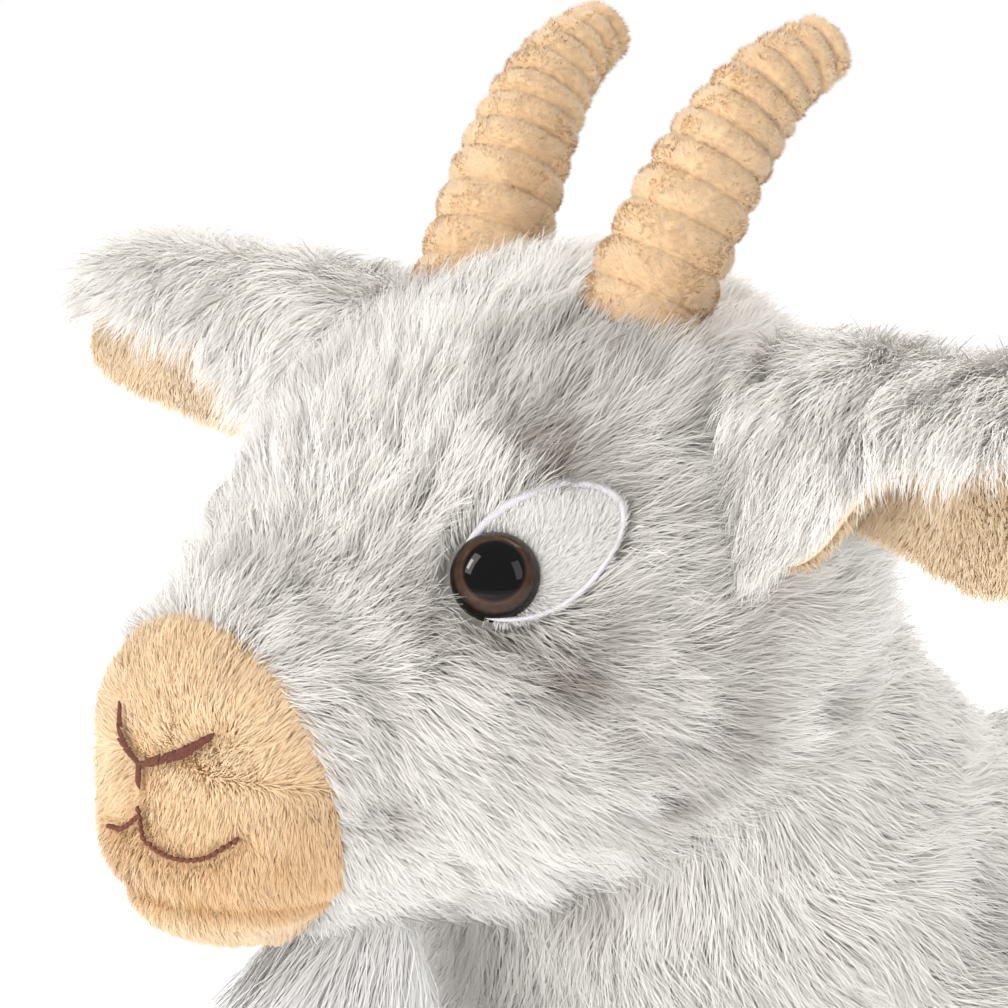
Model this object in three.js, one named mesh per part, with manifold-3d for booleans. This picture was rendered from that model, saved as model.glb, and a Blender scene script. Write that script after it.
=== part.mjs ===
// A standing plush goat, as it comes apart on a sewing bench: faux-fur panels, fillings, ribbed horns,
// lined ears, safety eyes with their washers, embroidery, beard, legs with hooves and soles, and a tail.
// Millimetres, +Z up. The goat faces -Y and its left side is +X. The floor is z = 0.
import * as THREE from "three";
import { mergeVertices } from "three/addons/utils/BufferGeometryUtils.js";
import Module from "manifold-3d";

const wasm = await Module();
wasm.setup();

// ---------- driving dimensions ----------
const GAP = 0.3; // between two pieces that touch
const SMOOTH = 0.04; // ripples smaller than this are flattened
const PILE = 5; // plush panel: backing cloth and pile
const AROUND = 22; // points round a head, trunk or neck section
const AROUND_LEG = 12;
const AROUND_HORN = 12;

const HEAD_Y = -59; // middle of the cranium
const HEAD_Z = 225;
const CRANIUM = { width: 47.5, above: 43.5, below: 46, back: 40 }; // half sizes
const MUZZLE = { ahead: 58, depth: 20.5, width: 27.5, above: 25, below: 29.5, drop: 21.5 };
const FACE_FULLNESS = 0.85; // how soon the face widens behind the muzzle
const FOREHEAD_GUSSET = 36; // width of the strip over the head
const THROAT_GUSSET = 26;
const MUZZLE_SEAM = { ahead: 63, lift: -25, tilt: 16 }; // the plane where the beige cap starts
const LIP_LIFT = -40.5; // lip seam, from the middle of the cranium

const NECK_BALL = { behind: 17, lift: -26, radius: 25 };
const NOD = 8; // degrees each way
const TURN = 12;
const SWEEP_CLEARANCE = 1.2; // round the head's travel in the neck
const FIT = 0.6; // round the travel of an ear, the beard and the tail

const TRUNK = { y: 23, z: 134, half: 98, width: 52, above: 49, below: 49, power: 2.5 };
const FLANK_RISE = 6; // how much the belly rises towards the rear
const NECK = { foot: [44, -94], top: [12, -20], width: [47, 37], depth: [62, 32] }; // from the cranium
const BELLY_GUSSET = 58;

const LEG = { front: -31, hind: 85, spread: 30, top: 113, thigh: 23, ankle: 15.5, lean: 5 };
const HOOF = { height: 26, radius: 17, wall: 3.5 };
const SOLE = 2.4;

const EYE = { ahead: 42, lift: 5, radius: 6.2, dome: 3.8, rim: 1.2 };
const SHANK = { radius: 1.9, length: 13 };
const WASHER = { outer: 5.5, thick: 1.2 };
const EYE_PATCH = { long: 12.5, short: 7.6, back: 6.5, up: 3.5, tilt: 33, thick: 1.5, depth: 3 };
const EYE_STITCH = { width: 1.7, thick: 2.3 };

const EMBROIDERY = { width: 1.5, sink: 2, proud: 0.3 };
const NOSE = { lift: -22, reach: 10.5, rise: 7, stem: 3 };
const MOUTH = { lift: -30, reach: 14.5, sag: 4.5, stem: 2 };

const HORN = { side: 19.5, behind: -2, length: 47, root: 9.6, tip: 4.6, ribs: 12, rib: 0.8, wall: 2.2 };
const HORN_LEAN = { out: 6, back: 28, rise: 35, root: 6 };

const EAR = { behind: 0, lift: 24, length: 77, start: 2.5, ridge: 14, span: 12, droop: -3, sweep: 9 };
const EAR_LIMBS = { front: [20, 1], back: [12, 21] }; // how far each side hangs, at the root and beyond
const EAR_OUTER = 4;
const EAR_LINING = 2.4;
const EAR_RANGE = [-8, 35]; // degrees, down and up

const BEARD = { ahead: 42, lift: -48, width: 13, depth: 7.5, length: 40 };
const BEARD_SWING = 15;
const TAIL = { lift: 25, length: 34, width: 10, thick: 6, droop: 58 };
const TAIL_RANGE = [-20, 45];
const LABEL = { width: 12, drop: 13, thick: 0.8, back: 31 };

// ---------- colours ----------
const cloth = (colour, roughness = 0.95) => new THREE.MeshStandardMaterial({ color: colour, roughness, metalness: 0 });
const FROSTED_FUR = cloth(0xdedcd8);
const BEIGE_PLUSH = cloth(0xe3bc88);
const RIBBED_PLUSH = cloth(0xeccb9c);
const WHITE_PILE = cloth(0xefeeea);
const LONG_PILE = cloth(0xf3f1ec);
const FILLING = cloth(0xf7f6f2);
const BROWN_THREAD = cloth(0x5c332c, 0.6);
const WHITE_THREAD = cloth(0xe6e4ee, 0.5);
const BLACK_PLASTIC = cloth(0x17130f, 0.3);
const CLEAR_DOME = cloth(0x3a2a1e, 0.05);
const NYLON = cloth(0xd8d8d4, 0.5);
const SATIN = cloth(0xf4f4f2, 0.4);

// ---------- solids ----------
const vec = (x, y, z) => new THREE.Vector3(x, y, z);
const X = vec(1, 0, 0);
const Y = vec(0, 1, 0);
const Z = vec(0, 0, 1);

// A closed surface from points and triangles, turned so that its faces point out.
function closed(points, triangles) {
  let volume = 0;
  for (const [a, b, c] of triangles) volume += points[a].dot(points[b].clone().cross(points[c]));
  const index = volume < 0 ? triangles.map(([a, b, c]) => [a, c, b]) : triangles;
  const made = new THREE.BufferGeometry().setFromPoints(points);
  made.setIndex(index.flat());
  return made;
}

// A skin through rings of equally many points, closed by a fan from the middle of each end ring.
function loft(rings) {
  const n = rings[0].length;
  const middle = (ring) => ring.reduce((sum, p) => sum.add(p), vec(0, 0, 0)).divideScalar(n);
  const points = [...rings.flat(), middle(rings[0]), middle(rings.at(-1))];
  const [first, last] = [points.length - 2, points.length - 1];
  const triangles = [];
  for (let i = 0; i < n; i++) {
    const j = (i + 1) % n;
    for (let r = 0; r < (rings.length - 1) * n; r += n) triangles.push([r + i, r + j, r + n + j], [r + i, r + n + j, r + n + i]);
    const end = (rings.length - 1) * n;
    triangles.push([first, j, i], [last, end + i, end + j]);
  }
  return closed(points, triangles);
}

// A sheet of even thickness on one side of a surface given by point(u, v), with u and v from 0 to 1.
function slab(point, across, along, from, to) {
  const small = 1e-3;
  const normal = (u, v) => {
    const du = point(Math.min(u + small, 1), v).sub(point(Math.max(u - small, 0), v));
    const dv = point(u, Math.min(v + small, 1)).sub(point(u, Math.max(v - small, 0)));
    return du.cross(dv).normalize();
  };
  const rings = [];
  for (let j = 0; j <= along; j++) {
    const v = j / along;
    const side = (offset) => Array.from({ length: across + 1 }, (_, i) => point(i / across, v).addScaledVector(normal(i / across, v), offset));
    rings.push([...side(from), ...side(to).reverse()]);
  }
  return loft(rings);
}

function oval(centre, side, up, width, above, below, count = AROUND) {
  return Array.from({ length: count }, (_, i) => {
    const angle = (2 * Math.PI * i) / count;
    const rise = Math.sin(angle);
    return centre.clone().addScaledVector(side, width * Math.cos(angle)).addScaledVector(up, rise * (rise > 0 ? above : below));
  });
}

// The same skin moved out along its own normals, or in where by is negative.
function grown(skin, by) {
  const made = skin.clone();
  made.computeVertexNormals();
  const [at, normal] = [made.getAttribute("position"), made.getAttribute("normal")];
  for (let i = 0; i < at.count; i++) at.setXYZ(i, at.getX(i) + by * normal.getX(i), at.getY(i) + by * normal.getY(i), at.getZ(i) + by * normal.getZ(i));
  return made;
}

function solid(geometry) {
  const flat = geometry.index ? geometry.toNonIndexed() : geometry;
  const bare = mergeVertices(new THREE.BufferGeometry().setAttribute("position", flat.getAttribute("position")), 1e-3);
  return new wasm.Manifold(new wasm.Mesh({ numProp: 3, vertProperties: bare.attributes.position.array, triVerts: new Uint32Array(bare.index.array) }));
}

// The largest body of a solid, as a geometry.
function geometryOf(made) {
  const body = made.simplify(SMOOTH).decompose().sort((a, b) => b.volume() - a.volume())[0];
  const mesh = body.getMesh();
  const geometry = new THREE.BufferGeometry().setAttribute("position", new THREE.BufferAttribute(new Float32Array(mesh.vertProperties), 3));
  return geometry.setIndex(new THREE.BufferAttribute(new Uint32Array(mesh.triVerts), 1));
}

const without = (made, ...cuts) => cuts.reduce((left, cut) => left.subtract(cut), made);
const HUGE = 600;
// A large box that fills low < axis < high and everything across it.
function band(axis, low, high) {
  const size = [HUGE, HUGE, HUGE];
  size[axis] = high - low;
  const box = new THREE.BoxGeometry(...size);
  const move = [0, 0, 0];
  move[axis] = (low + high) / 2;
  return solid(box.translate(...move));
}
const above = (axis, level) => band(axis, level, level + HUGE);
const below = (axis, level) => band(axis, level - HUGE, level);
const mirrored = (geometry) => {
  const flat = geometry.index ? geometry.toNonIndexed() : geometry.clone();
  const made = flat.scale(-1, 1, 1);
  const at = made.getAttribute("position").array;
  for (let i = 0; i < at.length; i += 9) {
    const second = at.slice(i + 3, i + 6);
    at.copyWithin(i + 3, i + 6, i + 9);
    at.set(second, i + 6);
  }
  return made;
};
const turned = (made, pivot, axis, degrees) => {
  const matrix = new THREE.Matrix4().makeTranslation(pivot)
    .multiply(new THREE.Matrix4().makeRotationAxis(axis, THREE.MathUtils.degToRad(degrees)))
    .multiply(new THREE.Matrix4().makeTranslation(pivot.clone().negate()));
  return made.clone().applyMatrix4(matrix);
};

// ---------- head ----------
const headPlace = (side, behind, lift) => vec(side, HEAD_Y + behind, HEAD_Z + lift);
const mix = THREE.MathUtils.lerp;
// The head's section at a distance behind the middle of the cranium: its middle's lift and half sizes.
function headSection(behind) {
  const capped = (part, reach) => Math.sqrt(Math.max(0, 1 - (part / reach) ** 2));
  if (behind > 0) {
    const k = capped(behind, CRANIUM.back);
    return { lift: 0, width: CRANIUM.width * k, above: CRANIUM.above * k, below: CRANIUM.below * k };
  }
  if (behind < -MUZZLE.ahead) {
    const k = capped(-MUZZLE.ahead - behind, MUZZLE.depth);
    return { lift: -MUZZLE.drop, width: MUZZLE.width * k, above: MUZZLE.above * k, below: MUZZLE.below * Math.sqrt(k) };
  }
  const k = Math.sin((Math.PI / 2) * (1 + behind / MUZZLE.ahead)) ** FACE_FULLNESS;
  return {
    lift: mix(-MUZZLE.drop, 0, k),
    width: mix(MUZZLE.width, CRANIUM.width, k),
    above: mix(MUZZLE.above, CRANIUM.above, k),
    below: mix(MUZZLE.below, CRANIUM.below, k),
  };
}
function headRing(behind) {
  const s = headSection(behind);
  return oval(headPlace(0, behind, s.lift), X, Z, s.width, s.above, s.below);
}
// How far to the side the head's skin lies at a distance behind the middle and a lift above it.
function headSide(behind, lift) {
  const s = headSection(behind);
  const rise = lift - s.lift;
  return s.width * Math.sqrt(Math.max(0, 1 - (rise / (rise > 0 ? s.above : s.below)) ** 2));
}
const NOSE_END = -MUZZLE.ahead - MUZZLE.depth;
const capSteps = [0.975, 0.87, 0.7, 0.45];
const faceSteps = [0, 0.2, 0.4, 0.6, 0.8];
const headSkin = loft([
  ...capSteps.map((k) => headRing(-MUZZLE.ahead - k * MUZZLE.depth)),
  ...faceSteps.map((k) => headRing(-MUZZLE.ahead * (1 - k))),
  headRing(0),
  ...[...capSteps].reverse().map((k) => headRing(k * CRANIUM.back)),
]);
const headAt = (by) => solid(grown(headSkin, by));

const neckPivot = headPlace(0, NECK_BALL.behind, NECK_BALL.lift);
const ball = (radius) => solid(new THREE.SphereGeometry(radius, 16, 10).rotateX(Math.PI / 2).translate(...neckPivot.toArray()));
// A faceted socket that clears the ball however it is turned.
const socket = () => ball((NECK_BALL.radius + GAP) / (Math.cos(Math.PI / 16) * Math.cos(Math.PI / 20)));

// Where the left eye sits on the skin, and the frame that looks along the skin's normal there.
const eyePlace = headPlace(headSide(-EYE.ahead, EYE.lift), -EYE.ahead, EYE.lift);
function headNormal(behind, lift) {
  const step = 0.5;
  const at = (b, l) => headPlace(headSide(b, l), b, l);
  const along = at(behind + step, lift).sub(at(behind - step, lift));
  return along.cross(at(behind, lift + step).sub(at(behind, lift - step))).normalize();
}
const eyeNormal = headNormal(-EYE.ahead, EYE.lift);
const eyeUp = Z.clone().addScaledVector(eyeNormal, -eyeNormal.z).normalize();
const eyeBack = eyeNormal.clone().cross(eyeUp).negate(); // towards the ear, on the skin
if (eyeBack.y < 0) eyeBack.negate();

const patchTilt = THREE.MathUtils.degToRad(EYE_PATCH.tilt);
const patchLong = eyeBack.clone().multiplyScalar(Math.cos(patchTilt)).addScaledVector(eyeUp, Math.sin(patchTilt));
const patchShort = eyeUp.clone().multiplyScalar(Math.cos(patchTilt)).addScaledVector(eyeBack, -Math.sin(patchTilt));
const patchMiddle = eyePlace.clone().addScaledVector(eyeBack, EYE_PATCH.back).addScaledVector(eyeUp, EYE_PATCH.up);
// An oval post that stands through the skin at the eye patch.
const patchPost = (extra) => solid(loft([-25, 12].map((reach) =>
  oval(patchMiddle.clone().addScaledVector(eyeNormal, reach), patchLong, patchShort, EYE_PATCH.long + extra, EYE_PATCH.short + extra, EYE_PATCH.short + extra, 16))));
// A round post about the eye's axis.
const eyePost = (radius, from, to) => solid(loft([from, to].map((reach) =>
  oval(eyePlace.clone().addScaledVector(eyeNormal, reach), eyeBack, eyeUp, radius, radius, radius, AROUND_HORN))));

const patchFloor = -EYE_PATCH.depth;
const patchTop = patchFloor + GAP + EYE_PATCH.thick;
const layer = (from, to) => headAt(to).subtract(headAt(from));
const eyePocket = headAt(6).subtract(headAt(patchFloor)).intersect(patchPost(EYE_STITCH.width + GAP));
const washerSeat = -PILE - GAP - WASHER.thick - 0.6;
const shankHole = eyePost(SHANK.radius + GAP, -PILE - 20, 10);
const eyeSeat = patchTop - EYE.rim; // the back of the eye's rim, along the eye's axis
const eyeRoom = eyePost(EYE.radius + GAP, eyeSeat - GAP, 12);
const washerRoom = eyePost(WASHER.outer + GAP, washerSeat - GAP, washerSeat + WASHER.thick + GAP);
const innerRoom = eyePost(SHANK.radius + GAP, eyeSeat - SHANK.length - 2 * GAP, 0);

const eyePatch = geometryOf(without(layer(patchFloor + GAP, patchTop).intersect(patchPost(0)), eyeRoom, shankHole));
const eyePatchStitch = geometryOf(without(
  layer(patchFloor + GAP, patchFloor + GAP + EYE_STITCH.thick).intersect(patchPost(EYE_STITCH.width)), patchPost(GAP), eyeRoom));
const bothSides = (made) => made.add(solid(mirrored(geometryOf(made))));
const eyeCuts = bothSides(eyePocket.add(shankHole).add(eyeRoom).add(washerRoom));

// A lathe-turned piece of the safety eye, from a profile of [radius, height] along the eye's axis.
function eyeTurned(profile) {
  const made = new THREE.LatheGeometry(profile.map(([r, h]) => new THREE.Vector2(r, h)), 14).rotateX(Math.PI / 2);
  const clean = mergeVertices(new THREE.BufferGeometry().setAttribute("position", made.toNonIndexed().getAttribute("position")), 1e-3);
  const frame = new THREE.Matrix4().makeBasis(eyeBack, eyeUp.clone(), eyeNormal.clone()).setPosition(eyePlace);
  if (frame.determinant() < 0) frame.makeBasis(eyeUp, eyeBack, eyeNormal).setPosition(eyePlace);
  return clean.applyMatrix4(frame);
}
const iris = eyeSeat + EYE.rim;
const domeArc = [0, 0.25, 0.5, 0.75, 1].map((k) => {
  const angle = (k * Math.PI) / 2;
  return [EYE.radius * Math.cos(angle), iris + GAP + EYE.dome * Math.sin(angle)];
});
const eyeDome = eyeTurned([[0, iris + GAP], ...domeArc.slice(0, -1), [0, iris + GAP + EYE.dome]]);
const eyeBackPlate = eyeTurned([
  [0, eyeSeat - SHANK.length], [SHANK.radius - 0.5, eyeSeat - SHANK.length], [SHANK.radius, eyeSeat - SHANK.length + 1.5],
  [SHANK.radius, eyeSeat], [EYE.radius, eyeSeat], [EYE.radius, iris], [0, iris],
]);
const washerHole = SHANK.radius + GAP;
const eyeWasher = eyeTurned([
  [washerHole, washerSeat], [WASHER.outer, washerSeat], [WASHER.outer, washerSeat + WASHER.thick],
  [washerHole, washerSeat + WASHER.thick], [washerHole, washerSeat],
]);

// Embroidery: a stroke of even width through points [side, lift] on the muzzle's front, as a flat outline.
function stroke(points, width) {
  const curve = new THREE.CatmullRomCurve3(points.map(([x, z]) => vec(x, z, 0)));
  const steps = 4 * (points.length - 1);
  const edge = (sign) => Array.from({ length: steps + 1 }, (_, i) => {
    const [at, along] = [curve.getPoint(i / steps), curve.getTangent(i / steps)];
    return new THREE.Vector2(at.x - (sign * along.y * width) / 2, at.y + (sign * along.x * width) / 2);
  });
  const shape = new THREE.Shape([...edge(1), ...edge(-1).reverse()]);
  const bar = new THREE.ExtrudeGeometry(shape, { depth: MUZZLE.depth + 20, bevelEnabled: false, steps: 1 });
  return solid(bar.rotateX(Math.PI / 2).translate(0, HEAD_Y + NOSE_END + MUZZLE.depth, HEAD_Z));
}
const nosePaths = [
  [[-NOSE.reach, NOSE.lift + NOSE.rise], [-NOSE.reach * 0.45, NOSE.lift + NOSE.rise * 0.28], [0.3, NOSE.lift - 0.6]],
  [[NOSE.reach, NOSE.lift + NOSE.rise], [NOSE.reach * 0.45, NOSE.lift + NOSE.rise * 0.28], [-0.3, NOSE.lift - 0.6]],
  [[0, NOSE.lift + 0.4], [0, NOSE.lift - NOSE.stem]],
];
const mouthPaths = [-1, 1].map((side) => [
  [-side * 0.3, MOUTH.lift + 0.3], [side * MOUTH.reach * 0.22, MOUTH.lift - MOUTH.sag * 0.75], [side * MOUTH.reach * 0.55, MOUTH.lift - MOUTH.sag],
  [side * MOUTH.reach * 0.85, MOUTH.lift - MOUTH.sag * 0.6], [side * MOUTH.reach, MOUTH.lift],
]).concat([[[0, MOUTH.lift - 0.5], [0, MOUTH.lift + MOUTH.stem]]]);
const drawn = (paths, width) => paths.map((path) => stroke(path, width)).reduce((all, one) => all.add(one));
const stitched = (paths) => geometryOf(layer(GAP - EMBROIDERY.sink, EMBROIDERY.proud).intersect(drawn(paths, EMBROIDERY.width)));
const noseStitching = stitched(nosePaths);
const mouthStitching = stitched(mouthPaths);
const groove = headAt(6).subtract(headAt(-EMBROIDERY.sink)).intersect(drawn([...nosePaths, ...mouthPaths], EMBROIDERY.width + 2 * GAP));

// The plane of the muzzle seam, as the solid in front of it.
function aheadOfSeam(shift) {
  const box = new THREE.BoxGeometry(HUGE, HUGE, HUGE).translate(0, -HUGE / 2 + shift, 0);
  return solid(box.rotateX(THREE.MathUtils.degToRad(MUZZLE_SEAM.tilt)).translate(0, HEAD_Y - MUZZLE_SEAM.ahead, HEAD_Z + MUZZLE_SEAM.lift));
}
const shell = headAt(0).subtract(headAt(-PILE));
const cap = shell.intersect(aheadOfSeam(-GAP / 2));
const muzzlePanel = geometryOf(cap.intersect(above(2, HEAD_Z + LIP_LIFT + GAP / 2)).subtract(groove));
const chinPanel = geometryOf(cap.intersect(below(2, HEAD_Z + LIP_LIFT - GAP / 2)));
const hood = without(shell, aheadOfSeam(GAP / 2), socket(), eyeCuts);
const topStrip = band(0, -FOREHEAD_GUSSET / 2, FOREHEAD_GUSSET / 2).intersect(above(2, HEAD_Z));
const throatStrip = band(0, -THROAT_GUSSET / 2, THROAT_GUSSET / 2).intersect(below(2, HEAD_Z));
const wider = (half, level) => band(0, -half / 2 - GAP, half / 2 + GAP).intersect(level);
const foreheadGusset = geometryOf(hood.intersect(topStrip));
const throatGusset = geometryOf(hood.intersect(throatStrip));
const cheeks = without(hood, wider(FOREHEAD_GUSSET, above(2, HEAD_Z - GAP)), wider(THROAT_GUSSET, below(2, HEAD_Z + GAP)));
const headSideLeft = geometryOf(cheeks.intersect(above(0, GAP / 2)));
const headFilling = geometryOf(without(headAt(-PILE - GAP), socket(), bothSides(washerRoom.add(innerRoom))));

// ---------- horns ----------
const hornRoot = headPlace(HORN.side, HORN.behind, headSection(HORN.behind).above * Math.sqrt(1 - (HORN.side / headSection(HORN.behind).width) ** 2));
const hornLine = new THREE.CatmullRomCurve3([
  hornRoot.clone().add(vec(-HORN_LEAN.out * 0.1, -HORN_LEAN.root * 0.8, -HORN_LEAN.root)),
  hornRoot.clone().add(vec(HORN_LEAN.out * 0.35, HORN_LEAN.back * 0.2, HORN_LEAN.rise * 0.42)),
  hornRoot.clone().add(vec(HORN_LEAN.out * 0.72, HORN_LEAN.back * 0.56, HORN_LEAN.rise * 0.8)),
  hornRoot.clone().add(vec(HORN_LEAN.out, HORN_LEAN.back, HORN_LEAN.rise)),
]);
// A horn-shaped solid whose wall lies inset from the outside, ribbed where ribs is true.
function hornBody(inset, ribs) {
  const rings = [];
  const steps = ribs ? 2 * HORN.ribs : 6;
  const tipRound = 0.93; // share of the length where the tip starts to round off
  for (let i = 0; i <= steps; i++) {
    const k = i / steps;
    const at = hornLine.getPoint(Math.min(k, 1 - inset / (2 * HORN.length)));
    const along = hornLine.getTangent(k);
    const side = X.clone().addScaledVector(along, -along.x).normalize();
    const round = k > tipRound ? Math.sqrt(1 - ((k - tipRound) / (1.04 - tipRound)) ** 2) : 1;
    const radius = (mix(HORN.root, HORN.tip, k ** 1.3) + (ribs ? (i % 2 ? HORN.rib / 2 : -HORN.rib / 2) : 0) - inset) * round;
    rings.push(oval(at, side, side.clone().cross(along), Math.max(radius, 0.8), Math.max(radius, 0.8), Math.max(radius, 0.8), AROUND_HORN));
  }
  return solid(loft(rings));
}
const hornHollow = hornBody(HORN.wall, false);
const hornCover = geometryOf(without(hornBody(0, true), hornHollow, headAt(GAP)));
const hornFilling = geometryOf(without(hornBody(HORN.wall + GAP, false), headAt(GAP)));

// ---------- ears ----------
const earRoot = headPlace(headSide(EAR.behind, EAR.lift) + EAR.start, EAR.behind, EAR.lift);
// A point of the left ear's upper face. u runs from the front edge over the ridge to the back edge, v from root to tip.
function earPoint(u, v) {
  const taper = Math.sqrt(Math.max(0.02, 1 - Math.max(0, (v - 0.35) / 0.66) ** 2));
  const swell = 0.82 + 0.18 * Math.sin(Math.min(1, v / 0.5) * (Math.PI / 2));
  const front = mix(...EAR_LIMBS.front, THREE.MathUtils.smoothstep(v, 0.12, 0.55)) * taper;
  const back = mix(...EAR_LIMBS.back, Math.min(1, v / 0.5)) * Math.sqrt(taper);
  const [ridge, span] = [EAR.ridge * taper * swell, EAR.span * taper * swell];
  const arc = Math.PI * ((ridge + span) / 2);
  const run = u * (front + arc + back);
  const angle = THREE.MathUtils.clamp((run - front) / arc, 0, 1) * Math.PI;
  const hang = Math.max(0, front - run) + Math.max(0, run - front - arc);
  const reach = EAR.length * v;
  const sink = EAR.droop * v ** 2;
  return earRoot.clone().add(vec(reach, -span * Math.cos(angle) - EAR.sweep * v, ridge * Math.sin(angle) - hang - sink));
}
const earHinge = earRoot.clone().add(vec(0, 0, EAR.ridge - EAR_OUTER));
const earSteps = [0, 0.25, 0.5, 0.75, 1].map((k) => mix(EAR_RANGE[0], EAR_RANGE[1], k));
// The head as the ear meets it over its whole travel, seen from the ear: a lifted ear is the head turned the other way.
const headForEar = earSteps.map((degrees) => solid(turned(grown(headSkin, FIT), earHinge, Y, degrees)));
const earLayer = (from, to) => solid(slab(earPoint, 10, 7, from, to));
const earOuter = geometryOf(without(earLayer(0, EAR_OUTER), ...headForEar));
const liningTop = EAR_OUTER + 2.5 * GAP;
const earLining = geometryOf(without(earLayer(liningTop, liningTop + EAR_LINING), earLayer(-1, EAR_OUTER + 2 * GAP), ...headForEar));

// ---------- beard ----------
const beardTop = headPlace(0, -BEARD.ahead, BEARD.lift - 3);
const beardLine = [0, 0.12, 0.35, 0.6, 0.82, 1];
const beardBody = loft(beardLine.map((k) => {
  const wide = k < 0.35 ? mix(0.75, 1, k / 0.35) : mix(1, 0.16, ((k - 0.35) / 0.65) ** 1.4);
  return oval(beardTop.clone().add(vec(0, 3 * k, -BEARD.length * k)), X, Y, BEARD.width * wide, BEARD.depth * wide, BEARD.depth * wide, AROUND_LEG);
}));
const beardHinge = beardTop.clone().add(vec(0, 0, -2));
const beardSteps = [-1, -0.5, 0, 0.5, 1].map((k) => k * BEARD_SWING);
const beard = geometryOf(without(solid(beardBody), ...beardSteps.map((d) => solid(turned(grown(headSkin, FIT), beardHinge, X, d)))));

// ---------- trunk and neck ----------
function trunkRing(k) {
  const size = (1 - Math.abs(k) ** TRUNK.power) ** (1 / TRUNK.power);
  const rise = FLANK_RISE * (k + 1) / 2;
  return oval(vec(0, TRUNK.y + k * TRUNK.half, TRUNK.z), X, Z, TRUNK.width * size, TRUNK.above * size, (TRUNK.below - rise) * size);
}
const trunkSteps = [0.985, 0.9, 0.72, 0.42];
const trunkSkin = loft([...trunkSteps.map((k) => trunkRing(-k)), trunkRing(0), ...[...trunkSteps].reverse().map((k) => trunkRing(k))]);
const neckFoot = headPlace(0, ...NECK.foot);
const neckTop = headPlace(0, ...NECK.top);
const neckAlong = neckTop.clone().sub(neckFoot).normalize();
const neckUp = neckAlong.clone().cross(X).normalize();
const neckSkin = loft([0, 0.25, 0.5, 0.75, 1].map((k) => {
  const [wide, deep] = [mix(...NECK.width, k), mix(...NECK.depth, k)];
  return oval(neckFoot.clone().lerp(neckTop, k), X, neckUp, wide, deep, deep);
}));
const bodyAt = (by) => solid(grown(trunkSkin, by)).add(solid(grown(neckSkin, by)));
// The head at the corners and the middle of its travel, which the neck stays clear of.
const headSweep = [-1, 0, 1].flatMap((nod) => [-1, 0, 1].map((turn) => {
  const tilted = turned(grown(headSkin, SWEEP_CLEARANCE), neckPivot, X, nod * NOD);
  return solid(turned(tilted, neckPivot, Z, turn * TURN));
})).reduce((all, one) => all.add(one));
const coat = without(bodyAt(0), bodyAt(-PILE), headSweep, socket());
const bellyLevel = TRUNK.z - TRUNK.below * 0.55;
const bellyStrip = band(0, -BELLY_GUSSET / 2, BELLY_GUSSET / 2).intersect(below(2, bellyLevel));
const bellyGusset = geometryOf(coat.intersect(bellyStrip));
const bodySideLeft = geometryOf(without(coat, wider(BELLY_GUSSET, below(2, bellyLevel + GAP))).intersect(above(0, GAP / 2)));
const bodyFilling = geometryOf(without(bodyAt(-PILE - 2 * GAP).intersect(bodyAt(-PILE).translate([0, GAP, 0])), headSweep, socket()));

// ---------- legs ----------
const legOval = (y, z, radius) => oval(vec(LEG.spread, y, z), X, Y, radius, radius * 1.06, radius * 1.06, AROUND_LEG);
// A leg's section at a height, inset from its skin. Hind legs lean back at the hock.
function legRing(y, hind, z, inset) {
  const k = THREE.MathUtils.clamp((z - HOOF.height) / (LEG.top - HOOF.height), 0, 1);
  const bend = hind ? LEG.lean * Math.sin(Math.PI * k) : 0;
  return legOval(y + bend, z, mix(LEG.ankle, LEG.thigh, k ** 1.35) - inset);
}
const legHeights = [0, 0.25, 0.5, 0.75, 1];
const bodyForLegs = bodyAt(GAP);
function legPieces(y, hind) {
  const heights = legHeights.map((k) => mix(HOOF.height + GAP, LEG.top, k));
  // The top leans into the trunk, so nothing of it shows beside the shoulder or the haunch.
  const crown = (inset) => oval(vec(LEG.spread - 9, y, LEG.top + 9 - inset), X, Y, ...Array(3).fill(LEG.thigh * 0.55 - inset), AROUND_LEG);
  const column = (levels, inset) => solid(loft([...levels.map((z) => legRing(y, hind, z, inset)), crown(inset)]));
  const hoofTop = HOOF.height - GAP;
  const hoofHeights = [SOLE + GAP, mix(SOLE, hoofTop, 0.15), mix(SOLE, hoofTop, 0.6), hoofTop];
  const hoofShares = [0.94, 1, 0.99, 0.93];
  const shoe = (inset, low, high) => solid(loft(hoofHeights.map((z, i) => {
    const level = i === 0 ? z + low : i === 3 ? z + high : z;
    return legOval(y, level, HOOF.radius * hoofShares[i] - inset);
  })));
  const hollow = column([HOOF.height - 4, ...heights], PILE);
  const core = shoe(HOOF.wall + GAP, 0, 0).add(column([HOOF.height - 2, ...heights], PILE + GAP));
  const sole = loft([0, SOLE].map((z) => legOval(y, z, HOOF.radius * 0.92)));
  return {
    cover: geometryOf(without(column(heights, 0), hollow, bodyForLegs)),
    filling: geometryOf(core.subtract(bodyForLegs)),
    hoof: geometryOf(shoe(0, 0, 0).subtract(shoe(HOOF.wall, -2, 2))),
    sole: geometryOf(solid(sole)),
  };
}

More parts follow.
